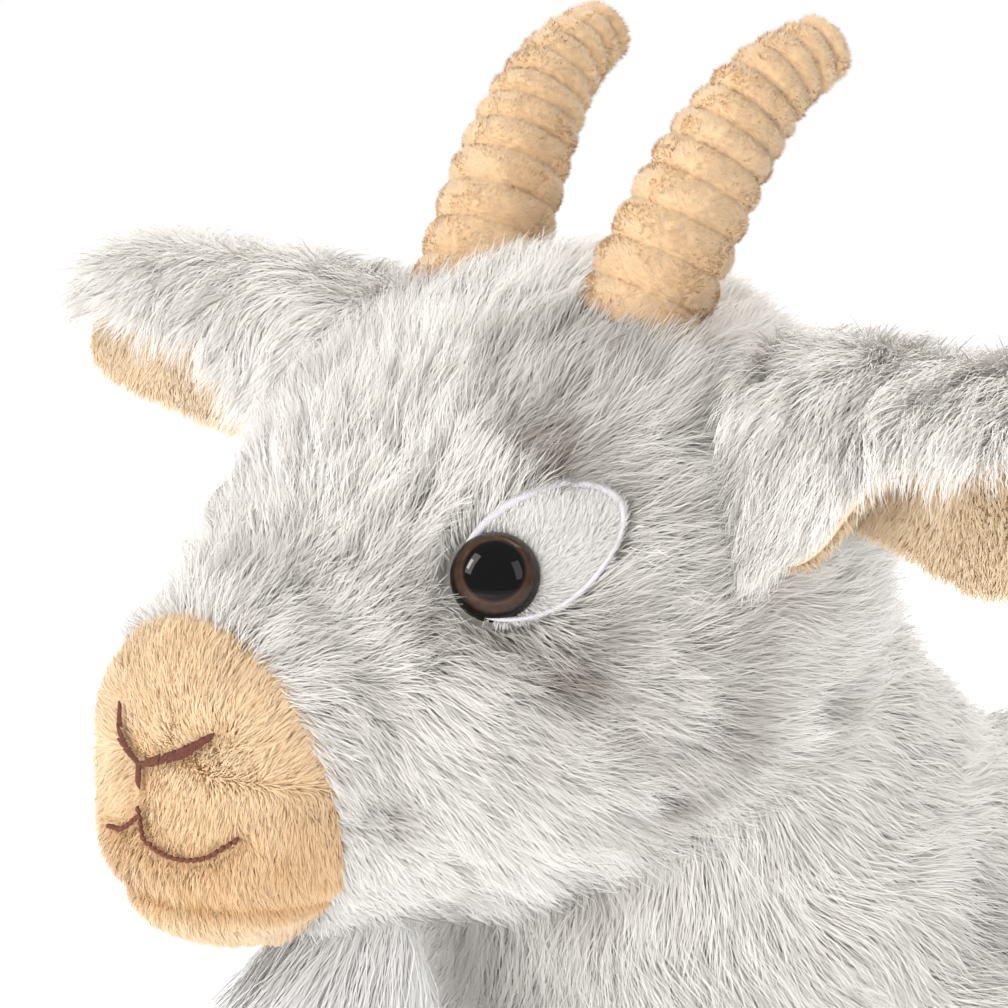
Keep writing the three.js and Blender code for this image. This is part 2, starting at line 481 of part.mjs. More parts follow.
// ---------- tail and label ----------
const rumpAt = TRUNK.half * 0.965;
const tailRoot = vec(0, TRUNK.y + rumpAt, TRUNK.z + TAIL.lift);
const tailAngle = THREE.MathUtils.degToRad(TAIL.droop);
const tailAlong = vec(0, Math.cos(tailAngle), -Math.sin(tailAngle));
const tailUp = vec(0, Math.sin(tailAngle), Math.cos(tailAngle));
const tailBody = loft([-0.25, 0, 0.25, 0.5, 0.75, 0.92, 1].map((k) => {
  const size = k < 0.25 ? mix(0.72, 1, Math.max(k, 0) / 0.25) : Math.sqrt(Math.max(0.04, 1 - ((k - 0.25) / 0.76) ** 2.4));
  const lift = 3 * Math.sin(Math.PI * Math.max(k, 0));
  return oval(tailRoot.clone().addScaledVector(tailAlong, TAIL.length * k).addScaledVector(tailUp, lift), X, tailUp, TAIL.width * size, TAIL.thick * size, TAIL.thick * size, AROUND_LEG);
}));
const tailSteps = [0, 0.33, 0.66, 1].map((k) => mix(TAIL_RANGE[0], TAIL_RANGE[1], k));
const bodyForTail = tailSteps.map((degrees) => solid(turned(grown(trunkSkin, FIT), tailRoot, X, -degrees)));
const tail = without(solid(tailBody), ...bodyForTail);
const tailHalf = (sign) => {
  const plate = new THREE.BoxGeometry(HUGE, HUGE, HUGE).translate(0, 0, sign * (HUGE / 2 + GAP / 2)).rotateX(-tailAngle);
  return geometryOf(tail.intersect(solid(plate.translate(...tailRoot.toArray()))));
};

// A folded care label, sewn into the left belly seam between the legs.
const labelTop = TRUNK.z - TRUNK.below * Math.sqrt(1 - (BELLY_GUSSET / 2 / TRUNK.width) ** 2);
const label = geometryOf(solid(new THREE.BoxGeometry(LABEL.thick, LABEL.width, LABEL.drop + 10)
  .translate(BELLY_GUSSET / 2, LABEL.back, labelTop - LABEL.drop / 2 + 5)).subtract(bodyForLegs));

// ---------- assembly ----------
const piece = (name, geometry, material) => {
  const mesh = new THREE.Mesh(geometry, material);
  mesh.name = name;
  return mesh;
};
const pair = (name, left, material) => [piece(`${name}_left`, left, material), piece(`${name}_right`, mirrored(left), material)];
const group = (...pieces) => new THREE.Group().add(...pieces.flat());

const head = group(
  pair("head_side_panel", headSideLeft, FROSTED_FUR),
  piece("forehead_gusset", foreheadGusset, FROSTED_FUR),
  piece("throat_gusset", throatGusset, FROSTED_FUR),
  piece("muzzle_panel", muzzlePanel, BEIGE_PLUSH),
  piece("chin_panel", chinPanel, BEIGE_PLUSH),
  piece("nose_stitching", noseStitching, BROWN_THREAD),
  piece("mouth_stitching", mouthStitching, BROWN_THREAD),
  pair("eye_patch", eyePatch, WHITE_PILE),
  pair("eye_patch_stitching", eyePatchStitch, WHITE_THREAD),
  pair("eye_dome", eyeDome, CLEAR_DOME),
  pair("eye_back", eyeBackPlate, BLACK_PLASTIC),
  pair("eye_washer", eyeWasher, NYLON),
  piece("head_filling", headFilling, FILLING),
  pair("horn_cover", hornCover, RIBBED_PLUSH),
  pair("horn_filling", hornFilling, FILLING),
  pair("ear_outer", earOuter, FROSTED_FUR),
  pair("ear_lining", earLining, BEIGE_PLUSH),
  piece("beard", beard, LONG_PILE),
);
const trunk = group(
  pair("body_side_panel", bodySideLeft, FROSTED_FUR),
  piece("belly_gusset", bellyGusset, FROSTED_FUR),
  piece("body_filling", bodyFilling, FILLING),
  piece("tail_upper", tailHalf(1), FROSTED_FUR),
  piece("tail_underside", tailHalf(-1), FROSTED_FUR),
  piece("care_label", label, SATIN),
);
const legs = group([["front_leg", LEG.front, false], ["hind_leg", LEG.hind, true]].flatMap(([name, y, hind]) => {
  const made = legPieces(y, hind);
  return [
    pair(`${name}_cover`, made.cover, FROSTED_FUR),
    pair(`${name}_filling`, made.filling, FILLING),
    pair(`${name}_hoof`, made.hoof, BEIGE_PLUSH),
    pair(`${name}_sole`, made.sole, BEIGE_PLUSH),
  ].flat();
}));
const neckFilling = geometryOf(ball(NECK_BALL.radius));

const goat = new THREE.Group();
goat.add(head, piece("neck_filling", neckFilling, FILLING), trunk, legs);

export default goat;
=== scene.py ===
"""A plush goat: faux fur over stuffed panels, ribbed chenille horns, a short-napped muzzle, stitching and safety eyes.

Lengths are in millimetres until a mesh is made; the frame is in metres. The goat faces -Y and its left side is +X.
"""

import math

import bmesh
import bpy
import numpy as np
from mathutils import Matrix, Vector


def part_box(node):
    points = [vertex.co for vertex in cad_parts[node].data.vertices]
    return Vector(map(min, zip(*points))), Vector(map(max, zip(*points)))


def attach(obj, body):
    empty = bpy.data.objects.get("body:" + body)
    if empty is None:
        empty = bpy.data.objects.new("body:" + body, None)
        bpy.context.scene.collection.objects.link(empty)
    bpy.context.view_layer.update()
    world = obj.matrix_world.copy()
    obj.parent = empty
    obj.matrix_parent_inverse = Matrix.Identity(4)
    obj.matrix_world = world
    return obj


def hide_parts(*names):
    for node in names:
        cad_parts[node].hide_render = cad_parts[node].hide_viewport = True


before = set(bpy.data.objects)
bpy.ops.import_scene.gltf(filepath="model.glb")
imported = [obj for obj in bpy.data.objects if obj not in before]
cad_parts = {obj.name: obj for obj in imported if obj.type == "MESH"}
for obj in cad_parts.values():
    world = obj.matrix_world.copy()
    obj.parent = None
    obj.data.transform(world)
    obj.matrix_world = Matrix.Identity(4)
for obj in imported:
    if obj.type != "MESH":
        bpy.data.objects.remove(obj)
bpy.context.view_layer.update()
MM = 0.001
DENSITY = 1.0

# ---------- sizes shared with the CAD model, in millimetres ----------
HEAD_Y, HEAD_Z = -59.0, 225.0
CRANIUM = dict(width=47.5, above=43.5, below=46.0, back=40.0)
MUZZLE = dict(ahead=58.0, depth=20.5, width=27.5, above=25.0, below=29.5, drop=21.5)
FULLNESS = 0.85
SEAM_AHEAD, SEAM_LIFT, SEAM_TILT = 63.0, -25.0, math.radians(16)
LIP_LIFT = -40.5
FOREHEAD, THROAT, BELLY = 36.0, 26.0, 58.0
TRUNK = dict(y=23.0, z=134.0, half=98.0, width=52.0, above=49.0, below=49.0, power=2.5)
FLANK_RISE = 6.0
NECK = dict(foot=(44.0, -94.0), top=(12.0, -20.0), width=(47.0, 37.0), depth=(62.0, 32.0))
LEG = dict(front=-31.0, hind=85.0, spread=30.0, top=113.0, thigh=23.0, ankle=15.5, lean=5.0)
HOOF_H, HOOF_R, SOLE = 26.0, 17.0, 2.4
EYE = dict(ahead=42.0, lift=5.0, radius=6.2)
PATCH = dict(long=12.5, short=7.6, back=6.5, up=3.5, tilt=math.radians(33))
HORN = dict(side=19.5, behind=-2.0, root=9.6, tip=4.6, ribs=12)
HORN_LEAN = dict(out=6.0, back=28.0, rise=35.0, root=6.0)
EAR = dict(behind=0.0, lift=24.0, length=77.0, start=2.5, ridge=14.0, span=12.0, droop=-3.0, sweep=9.0)
EAR_FRONT, EAR_BACK = (20.0, 1.0), (12.0, 21.0)
NOSE = dict(lift=-22.0, reach=10.5, rise=7.0, stem=3.0)
MOUTH = dict(lift=-30.0, reach=14.5, sag=4.5)
TAIL = dict(lift=25.0, length=34.0, width=10.0, thick=6.0, droop=math.radians(58))
BEARD = dict(ahead=42.0, lift=-48.0)

X, Y, Z = np.eye(3)


def unit(v):
    return v / np.maximum(np.linalg.norm(v, axis=-1, keepdims=True), 1e-9)


def dot(a, b):
    return np.sum(a * b, axis=-1, keepdims=True)


def lerp(a, b, t):
    return a + (b - a) * t


def smooth(low, high, v):
    t = np.clip((v - low) / (high - low), 0, 1)
    return t * t * (3 - 2 * t)


# ---------- value noise on a hashed lattice ----------
def lattice(cell, seed):
    x, y, z = cell[..., 0].astype(np.int64), cell[..., 1].astype(np.int64), cell[..., 2].astype(np.int64)
    h = (x * 73856093) ^ (y * 19349663) ^ (z * 83492791) ^ (seed * 2654435761)
    h = (h ^ (h >> 13)) * 1274126177 & 0xFFFFFFFF
    h = (h ^ (h >> 16)) & 0xFFFFFF
    return h / float(0xFFFFFF) * 2 - 1


def noise(p, size, seed=0):
    """Smooth noise from -1 to 1 at points p, with features about size across."""
    q = p / size
    base = np.floor(q)
    f = q - base
    f = f * f * (3 - 2 * f)
    total = 0
    for corner in range(8):
        step = np.array([corner & 1, corner >> 1 & 1, corner >> 2 & 1], float)
        weight = np.prod(np.where(step > 0, f, 1 - f), axis=-1)
        total = total + weight * lattice(base + step, seed)
    return total


def noise3(p, size, seed=0):
    return np.stack([noise(p, size, seed + 17 * k) for k in range(3)], axis=-1)


# ---------- surfaces ----------
def grid_faces(rows, columns, closed=True):
    i, j = np.meshgrid(np.arange(rows - 1), np.arange(columns if closed else columns - 1), indexing="ij")
    k = (j + 1) % columns
    a, b, c, d = i * columns + j, i * columns + k, (i + 1) * columns + k, (i + 1) * columns + j
    return np.stack([a, b, c, d], axis=-1).reshape(-1, 4)


class Skin:
    """A quad surface with vertex normals, from which points are drawn evenly by area."""

    def __init__(self, points, faces, outward=None):
        self.points, self.faces = points, faces
        a, b, c, d = (points[faces[:, k]] for k in range(4))
        cross = np.cross(c - a, d - b)
        normals = np.zeros_like(points)
        for k in range(4):
            np.add.at(normals, faces[:, k], cross)
        self.normals = unit(normals)
        if outward is not None and np.sum(dot(self.normals, outward(points))) < 0:
            self.faces = faces[:, ::-1]
            self.normals = -self.normals
        self.areas = np.linalg.norm(cross, axis=-1) / 2

    def draw(self, per_mm2, rng, keep=None):
        count = int(self.areas.sum() * per_mm2 * DENSITY)
        face = rng.choice(len(self.faces), count, p=self.areas / self.areas.sum())
        u, v = rng.random((2, count, 1))
        corners = self.faces[face]
        weights = [(1 - u) * (1 - v), u * (1 - v), u * v, (1 - u) * v]
        p = sum(w * self.points[corners[:, k]] for k, w in enumerate(weights))
        n = unit(sum(w * self.normals[corners[:, k]] for k, w in enumerate(weights)))
        if keep is not None:
            kept = keep(p)
            p, n = p[kept], n[kept]
        return p, n


def loft_skin(rings, outward):
    rings = np.asarray(rings)
    rows, columns = rings.shape[:2]
    return Skin(rings.reshape(-1, 3), grid_faces(rows, columns), outward)


def resample(rings, rows):
    """Rings evened out and interpolated smoothly along their length."""
    rings = np.asarray(rings)
    centre = rings.mean(axis=1)
    run = np.concatenate([[0], np.cumsum(np.linalg.norm(np.diff(rings, axis=0), axis=2).mean(axis=1))])
    at = np.linspace(0, run[-1], rows)
    flat = rings.reshape(len(rings), -1)
    out = np.stack([np.interp(at, run, flat[:, k]) for k in range(flat.shape[1])], axis=1)
    return out.reshape(rows, *rings.shape[1:])


# ---------- the head's shape ----------
def head_section(behind):
    behind = np.asarray(behind, float)
    back_k = np.sqrt(np.clip(1 - (behind / CRANIUM["back"]) ** 2, 0, 1))
    cap_k = np.sqrt(np.clip(1 - ((-MUZZLE["ahead"] - behind) / MUZZLE["depth"]) ** 2, 0, 1))
    k = np.sin(np.pi / 2 * np.clip(1 + behind / MUZZLE["ahead"], 0, 1)) ** FULLNESS
    back, cap = behind > 0, behind < -MUZZLE["ahead"]

    def choose(face, at_back, at_cap):
        return np.where(back, at_back, np.where(cap, at_cap, face))

    lift = choose(lerp(-MUZZLE["drop"], 0, k), 0, -MUZZLE["drop"])
    sizes = [
        choose(lerp(MUZZLE[name], CRANIUM[name], k), CRANIUM[name] * back_k, MUZZLE[name] * (np.sqrt(cap_k) if name == "below" else cap_k))
        for name in ("width", "above", "below")
    ]
    return (lift, *sizes)


def head_place(side, behind, lift):
    return np.array([side, HEAD_Y + behind, HEAD_Z + lift], float)


def head_side(behind, lift):
    middle, width, above, below = head_section(behind)
    rise = lift - middle
    return float(width * np.sqrt(max(0.0, 1 - (rise / (above if rise > 0 else below)) ** 2)))


def head_level(p, grown=0.0):
    """Under 1 inside the head grown by that much, over 1 outside."""
    behind = p[..., 1] - HEAD_Y
    lift, width, above, below = head_section(np.clip(behind, -MUZZLE["ahead"] - MUZZLE["depth"] + 0.5, CRANIUM["back"] - 0.5))
    rise = p[..., 2] - HEAD_Z - lift
    reach = np.where(rise > 0, above, below) + grown
    level = (p[..., 0] / (width + grown)) ** 2 + (rise / reach) ** 2
    out = (behind > CRANIUM["back"] + grown) | (behind < -MUZZLE["ahead"] - MUZZLE["depth"] - grown)
    return np.where(out, 9.0, level)


def head_rings(columns=120):
    t = np.linspace(math.radians(88), 0, 26)
    cap = -MUZZLE["ahead"] - MUZZLE["depth"] * np.sin(t)
    face = -MUZZLE["ahead"] * (1 - np.linspace(0, 1, 34)[1:])
    back = CRANIUM["back"] * np.sin(np.linspace(0, math.radians(88), 26)[1:])
    phi = np.linspace(0, 2 * np.pi, columns, endpoint=False)
    rings = []
    for behind in np.concatenate([cap, face, back]):
        lift, width, above, below = head_section(behind)
        s = np.sin(phi)
        rings.append(np.stack([
            width * np.cos(phi),
            np.full(columns, HEAD_Y + behind),
            HEAD_Z + lift + s * np.where(s > 0, above, below),
        ], axis=1))
    rings = np.array(rings)
    for _ in range(6):  # soften the crease where the face meets the muzzle
        rings[1:-1] = (rings[:-2] + 2 * rings[1:-1] + rings[2:]) / 4
    return rings


HEAD_MIDDLE = head_place(0, -10, -8)
head_skin = loft_skin(head_rings(), lambda p: p - HEAD_MIDDLE)


def moved(skin, by):
    """The same surface moved along its normals."""
    return Skin(skin.points + skin.normals * by, skin.faces, lambda p: skin.normals)


def ahead_of_seam(p):
    """How far points lie in front of the muzzle's seam."""
    y = p[..., 1] - (HEAD_Y - SEAM_AHEAD)
    z = p[..., 2] - (HEAD_Z + SEAM_LIFT)
    return -(y * math.cos(SEAM_TILT) + z * math.sin(SEAM_TILT))


# ---------- the eye's frame ----------
eye_place = head_place(head_side(-EYE["ahead"], EYE["lift"]), -EYE["ahead"], EYE["lift"])


def head_normal(behind, lift, step=0.5):
    def at(b, l):
        return head_place(head_side(b, l), b, l)
    along = at(behind + step, lift) - at(behind - step, lift)
    return unit(np.cross(along, at(behind, lift + step) - at(behind, lift - step)))


eye_normal = head_normal(-EYE["ahead"], EYE["lift"])
eye_up = unit(Z - eye_normal * eye_normal[2])
eye_back = -np.cross(eye_normal, eye_up)
if eye_back[1] < 0:
    eye_back = -eye_back
patch_long = eye_back * math.cos(PATCH["tilt"]) + eye_up * math.sin(PATCH["tilt"])
patch_short = eye_up * math.cos(PATCH["tilt"]) - eye_back * math.sin(PATCH["tilt"])
patch_middle = eye_place + eye_back * PATCH["back"] + eye_up * PATCH["up"]
FLIP = np.array([-1.0, 1.0, 1.0])
SIDES = (("left", np.ones(3)), ("right", FLIP))


def mirror(p):
    return np.abs(p[..., :1]) * X + p * (Y + Z)


def patch_share(angle):
    """The lower outer side of the patch is drawn in a little, so it is fuller above."""
    return 1 - 0.12 * np.exp(-(((angle - 5.4 + np.pi) % (2 * np.pi) - np.pi) / 0.7) ** 2)


def patch_level(p, grown=0.0):
    """Under 1 inside the eye patch, on either side of the head."""
    d = mirror(p) - patch_middle
    a, b = dot(d, patch_long) / (PATCH["long"] + grown), dot(d, patch_short) / (PATCH["short"] + grown)
    level = (a * a + b * b) / patch_share(np.arctan2(b, a)) ** 2
    return np.where(np.abs(dot(d, eye_normal)) < 16, level, 9.0)[..., 0]


def eye_distance(p):
    d = mirror(p) - eye_place
    return np.linalg.norm(d - dot(d, eye_normal) * eye_normal, axis=-1) + 50 * (np.abs(dot(d, eye_normal))[..., 0] > 14)


# ---------- meshes ----------
collection = bpy.context.scene.collection


def make_mesh(name, points, faces, material, uv=None, normals=None):
    """An object from points in millimetres and a list of face arrays (each of one face size)."""
    faces = [np.asarray(f, np.int32) for f in (faces if isinstance(faces, list) else [faces])]
    mesh = bpy.data.meshes.new(name)
    mesh.vertices.add(len(points))
    mesh.vertices.foreach_set("co", (np.asarray(points, np.float32) * MM).ravel())
    sizes = np.concatenate([np.full(len(f), f.shape[1]) for f in faces])
    loops = np.concatenate([f.ravel() for f in faces])
    mesh.loops.add(len(loops))
    mesh.loops.foreach_set("vertex_index", loops)
    mesh.polygons.add(len(sizes))
    mesh.polygons.foreach_set("loop_start", np.concatenate([[0], np.cumsum(sizes)[:-1]]).astype(np.int32))
    mesh.polygons.foreach_set("use_smooth", np.ones(len(sizes), bool))
    if uv is not None:
        layer = mesh.uv_layers.new(name="OFBake")
        layer.data.foreach_set("uv", np.asarray(uv, np.float32)[loops].ravel())
    mesh.update(calc_edges=True)
    mesh.validate()
    if normals is not None:
        mesh.normals_split_custom_set_from_vertices(np.asarray(normals, np.float32))
    obj = bpy.data.objects.new(name, mesh)
    collection.objects.link(obj)
    mesh.materials.append(material)
    return obj


def place(obj, body, nodes=()):
    """Rides the piece on a body, and hides the CAD parts it stands for."""
    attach(obj, body)
    if nodes:
        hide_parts(*nodes)
    return obj


def fibres(name, p, n, comb, length, width, material, tone, seed, body,
           rise=(70.0, 20.0), clump=(5.0, 0.16), segments=2, lean=0.45, sag=0.0, soften=0.9, wave=0.0, kink=0.12,
           under=0.0, shade=None):
    """A mesh of tapering fibres rooted at p. comb gives their direction on the surface; tone is from 0 pale to 1 dark.

    rise is the angle to the surface at the root and the tip; clump is the size of a tuft, and how far tips gather.
    under is the share of short, broad undercoat fibres among them; shade replaces the surface normals in the shading.
    The texture coordinates hold tone across and the way from root to tip up, so the material needs nothing else.
    """
    rng = np.random.default_rng(seed)
    count = len(p)
    short = rng.random(count) < under
    length = np.broadcast_to(length, (count,)) * (0.75 + 0.5 * rng.random(count)) * np.where(short, 0.55, 1.0)
    comb = unit(comb - dot(comb, n) * n)
    side = np.cross(n, comb)
    swirl = lean * (noise(p, 9.0, seed + 1)[:, None] + 0.8 * (rng.random((count, 1)) - 0.5))
    along = unit(comb + side * swirl * 1.6)
    pull = 0
    for size, gather, salt in ((clump[0], clump[1], 5), (clump[0] * 0.36, clump[1] * 0.6, 6)):
        step = size * 0.15
        here = noise(p, size, seed + salt)
        slope = np.stack([noise(p + way * step, size, seed + salt) - here for way in (along, side)], axis=1) / step
        pull = pull + (along * slope[:, :1] + side * slope[:, 1:]) * size * gather
    angles = np.radians(np.linspace(rise[0], rise[1], segments))[None, :, None]
    angles = angles + np.radians(16) * (rng.random((count, 1, 1)) - 0.5) + np.radians(14) * noise(p, 5.0, seed + 3)[:, None, None]
    path = [p]
    shift = wave * noise3(p, 6.0, seed + 9)
    for k in range(segments):
        a = angles[:, k]
        direction = along * np.cos(a) + n * np.sin(a)
        s0, s1 = (k / segments) ** 2, ((k + 1) / segments) ** 2
        step_vector = direction * (length / segments)[:, None] + (pull * length[:, None] + shift) * (s1 - s0)
        bend = rng.normal(size=(count, 3)) * (kink * length / segments)[:, None]
        step_vector = step_vector - Z * (sag * length[:, None] * (s1 - s0)) + bend
        path.append(path[-1] + step_vector)
    path = np.stack(path, axis=1)
    heading = unit(path[:, -1] - path[:, 0])
    facing = n if shade is None else shade
    flat = unit(np.cross(heading, facing) + 1e-6)
    roll = rng.normal(0, 0.55, (count, 1))
    across = flat * np.cos(roll) + np.cross(heading, flat) * np.sin(roll)
    bent = unit(np.cross(across, heading))
    turned = np.sign(dot(bent, facing) + 1e-6)
    across, bent = across * turned, bent * turned
    width = np.broadcast_to(width, (count,)) * (0.75 + 0.5 * rng.random(count)) * np.where(short, 2.3, 1.0)
    profile = np.array([0.8, *[1.0 - 0.45 * (k / segments) ** 2 for k in range(1, segments)], 0.0])
    half = width[:, None, None] * profile[None, :, None] / 2
    left, right = path - across[:, None] * half, path + across[:, None] * half
    per = 2 * segments + 1
    points = np.empty((count, per, 3), np.float32)
    points[:, 0:-1:2] = left[:, :-1]
    points[:, 1:-1:2] = right[:, :-1]
    points[:, -1] = path[:, -1]
    points[..., 2] = np.maximum(points[..., 2], 0.1)  # none below the floor
    base = (np.arange(count) * per)[:, None]
    quads = [base + np.array([2 * k, 2 * k + 1, 2 * k + 3, 2 * k + 2]) for k in range(segments - 1)]
    tips = base + np.array([per - 3, per - 2, per - 1])
    t = np.clip(tone + 0.05 * rng.normal(size=count), 0.02, 0.98)
    uv = np.empty((count, per, 2), np.float32)
    uv[..., 0] = t[:, None]
    uv[:, 0:-1:2, 0] -= 0.01
    uv[:, 1:-1:2, 0] += 0.01
    for k in range(segments):
        uv[:, 2 * k:2 * k + 2, 1] = 0.02 + 0.96 * k / segments
    uv[:, -1, 1] = 0.98
    tilt = unit(facing + 0.12 * pull + 0.07 * rng.normal(size=(count, 3)))
    normal = unit(soften * tilt + (1 - soften) * bent)
    normals = np.repeat(normal[:, None], per, axis=1)
    obj = make_mesh(name, points.reshape(-1, 3), [*quads, tips], material, uv.reshape(-1, 2), normals.reshape(-1, 3))
    return place(obj, body)


def cloth_piece(name, skin, keep, material, body, nodes=(), thickness=2.0):
    """The backing under a pile: the part of a surface whose faces keep accepts, made a closed sheet."""
    centres = skin.points[skin.faces].mean(axis=1)
    kept = skin.faces[keep(centres)] if keep is not None else skin.faces
    used, index = np.unique(kept, return_inverse=True)
    points, faces = skin.points[used], index.reshape(-1, 4)
    normals = skin.normals[used]
    inner = points - normals * thickness
    count = len(points)
    edges = np.concatenate([faces[:, [k, (k + 1) % 4]] for k in range(4)])
    keys = np.sort(edges, axis=1)
    unique, first, counts = np.unique(keys[:, 0] * count + keys[:, 1], return_index=True, return_counts=True)
    rim = edges[first[counts == 1]]
    walls = np.stack([rim[:, 1], rim[:, 0], rim[:, 0] + count, rim[:, 1] + count], axis=1)
    every = np.concatenate([faces, faces[:, ::-1] + count, walls])
    obj = make_mesh(name, np.concatenate([points, inner]), every, material)
    return place(obj, body, nodes)


# ---------- materials ----------
def new_material(name):
    material = bpy.data.materials.new(name)
    material.use_nodes = True
    tree = material.node_tree
    return material, tree, tree.nodes["Principled BSDF"]


def srgb(code):
    channels = [int(code[k:k + 2], 16) / 255 for k in (0, 2, 4)]
    return [c / 12.92 if c <= 0.04045 else ((c + 0.055) / 1.055) ** 2.4 for c in channels] + [1.0]


def set_inputs(tree, node, values):
    """Sets a node's inputs, each to a value or a link."""
    for key, value in values.items():
        if isinstance(value, bpy.types.NodeSocket):
            tree.links.new(value, node.inputs[key])
        else:
            node.inputs[key].default_value = value


def add_node(tree, kind, values, **settings):
    node = tree.nodes.new("ShaderNode" + kind)
    for key, value in settings.items():
        setattr(node, key, value)
    set_inputs(tree, node, values)
    return node


def ramp(tree, stops, value):
    node = add_node(tree, "ValToRGB", {"Fac": value})
    elements = node.color_ramp.elements
    while len(elements) < len(stops):
        elements.new(0.5)
    for element, (at, colour) in zip(elements, stops):
        element.position, element.color = at, srgb(colour)
    return node.outputs["Color"]


def blended(tree, factor, first, second, mode="MIX"):
    return add_node(tree, "Mix", {0: factor, 6: first, 7: second}, data_type="RGBA", blend_type=mode).outputs[2]


def fibre_material(name, pale, dark):
    """Colours run from root to tip; pale and dark are the two ends of the tone, each three colours from root to tip."""
    material, tree, shader = new_material(name)
    layer = add_node(tree, "UVMap", {}, uv_map="OFBake")
    parts = add_node(tree, "SeparateXYZ", {0: layer.outputs["UV"]})
    tone, way = parts.outputs["X"], parts.outputs["Y"]
    light, deep = (ramp(tree, list(zip((0.0, 0.45, 1.0), colours)), way) for colours in (pale, dark))
    set_inputs(tree, shader, {
        "Base Color": blended(tree, tone, light, deep), "Roughness": 0.6, "Specular IOR Level": 0.25,
        "Sheen Weight": 0.25, "Sheen Roughness": 0.5,
    })
    return material


def woven_material(name, low, high, scale=900.0, roughness=0.9, sheen=0.3, bump=0.25, distance=0.0004):
    """Cloth whose colour and height vary with a fine fibrous noise, placed by the piece's own coordinates."""
    material, tree, shader = new_material(name)
    at = add_node(tree, "TexCoord", {}).outputs["Object"]
    grain = add_node(tree, "TexNoise", {"Scale": scale, "Detail": 6.0, "Vector": at}).outputs["Fac"]
    cloud = add_node(tree, "TexNoise", {"Scale": 60.0, "Detail": 3.0, "Vector": at}).outputs["Fac"]
    share = add_node(tree, "Math", {0: cloud, 1: 0.4}, operation="MULTIPLY").outputs[0]
    mixed = add_node(tree, "Math", {0: grain, 1: 0.6, 2: share}, operation="MULTIPLY_ADD").outputs[0]
    height = add_node(tree, "Bump", {"Strength": bump, "Distance": distance, "Height": grain})
    set_inputs(tree, shader, {
        "Base Color": ramp(tree, [(0.3, low), (0.7, high)], mixed), "Normal": height.outputs["Normal"],
        "Roughness": roughness, "Sheen Weight": sheen, "Sheen Roughness": 0.6,
    })
    return material


FUR = fibre_material("frosted_fur", ("e6e2dc", "f3f0eb", "faf8f4"), ("524b44", "857c74", "c2bcb5"))
PILE = fibre_material("beige_pile", ("eac596", "f4d5ac", "fae4c2"), ("bb8751", "d6a46a", "e8c08a"))
HORN_FUZZ = fibre_material("horn_fuzz", ("e3c39c", "eed3b0", "f5e1c6"), ("c9a074", "d9b68a", "e6c8a0"))
LINING_PILE = fibre_material("lining_pile", ("f0d2aa", "f8e1bf", "fceacf"), ("ddb486", "eac79a", "f3d7b0"))
WHITE_NAP = fibre_material("white_nap", ("e2dfdb", "efedea", "f5f4f2"), ("b9b4ae", "d3cfca", "e6e3e0"))
BEARD_HAIR = fibre_material("beard_hair", ("ebe9e6", "f8f7f6", "fdfdfc"), ("cfcbc6", "e4e2df", "f2f1ef"))

FUR_BACKING = woven_material("fur_backing", "bcb7b1", "dad6d1")
PLUSH_BACKING = woven_material("plush_backing", "d6ab7b", "e8c498")
LINING_BACKING = woven_material("lining_backing", "edcda2", "f7dfb9")
HORN_BACKING = woven_material("horn_backing", "d6b085", "e6c79d")
SUEDE = woven_material("sole_suede", "c39a68", "d9b182", scale=1400.0)
STUFFING = woven_material("fibre_filling", "d9d7d2", "f6f5f2", scale=320.0, bump=0.6, distance=0.001)
BROWN_YARN = woven_material("brown_thread", "4a231a", "7d4837", scale=2600.0, roughness=0.75, sheen=0.0)
PALE_YARN = woven_material("pale_thread", "d6d3dc", "eeecf1", scale=2600.0, roughness=0.45, sheen=0.2)
NYLON = woven_material("nylon_washer", "cfcfca", "e4e4e0", scale=300.0, roughness=0.5, sheen=0.0, bump=0.05)
RIBBON = woven_material("label_ribbon", "e6e6e2", "f7f7f5", scale=1800.0, roughness=0.5)


# ---------- combing ----------
NOSE_BRIDGE = head_place(0, -62, -14)


def head_comb(p):
    away = unit(p - NOSE_BRIDGE)
    low = smooth(10, -40, (p[..., 2] - HEAD_Z))[:, None]
    eye = eye_place * (X * np.sign(p[:, :1]) + Y + Z)
    from_eye = unit(p - eye) * np.exp(-((eye_distance(p) - EYE["radius"]) / 4.0)[:, None] ** 2)
    return away + 0.35 * Y - 0.25 * low * Z + 1.6 * from_eye


def blotch(p, seed, size=17.0, cover=0.15):
    """Soft dark patches: 0 in plain white fur, towards 1 in a patch."""
    field = noise(p, size, seed) + 0.55 * noise(p, size * 0.45, seed + 1) + 0.2 * noise(p, 3.0, seed + 2)
    return smooth(0.35 - cover, 1.15 - cover, field)


# Where the fur shows its dark roots: (behind, lift, reach, strength), on both cheeks.
SPOTS = [
    (-29, 17.5, 3.2, 1.5), (-32, 15.5, 2.4, 0.8), (-31, -4, 5.5, 0.6), (-35, -8, 3.5, 0.45), (-22, 26, 4.5, 0.55),
    (-38, 32, 3.8, 0.45), (-52, 6, 3.2, 0.4), (-45, -5, 4.0, 0.35), (-12, -6, 5.5, 0.5), (-16, -22, 5.0, 0.45),
    (-56, -26, 3.2, 0.75), (-57, -12, 2.6, 0.4), (-40, -17, 6.5, 0.35), (-27, -18, 5.0, 0.3), (-33, 34, 3.0, 0.35),
    (-47, 21, 3.5, 0.3), (-8, 12, 5.0, 0.5), (-20, 8, 4.5, 0.3),
]


def spots(p):
    total = 0
    for behind, lift, reach, strength in SPOTS:
        d = p[:, 1:] - (HEAD_Y + behind, HEAD_Z + lift)
        total = total + strength * np.exp(-np.sum(d * d, axis=1) / (2 * reach * reach)) * (np.abs(p[:, 0]) > 12)
    return total


def neck_line(t):
    foot, top = head_place(0, *NECK["foot"]), head_place(0, *NECK["top"])
    return foot + (top - foot) * t


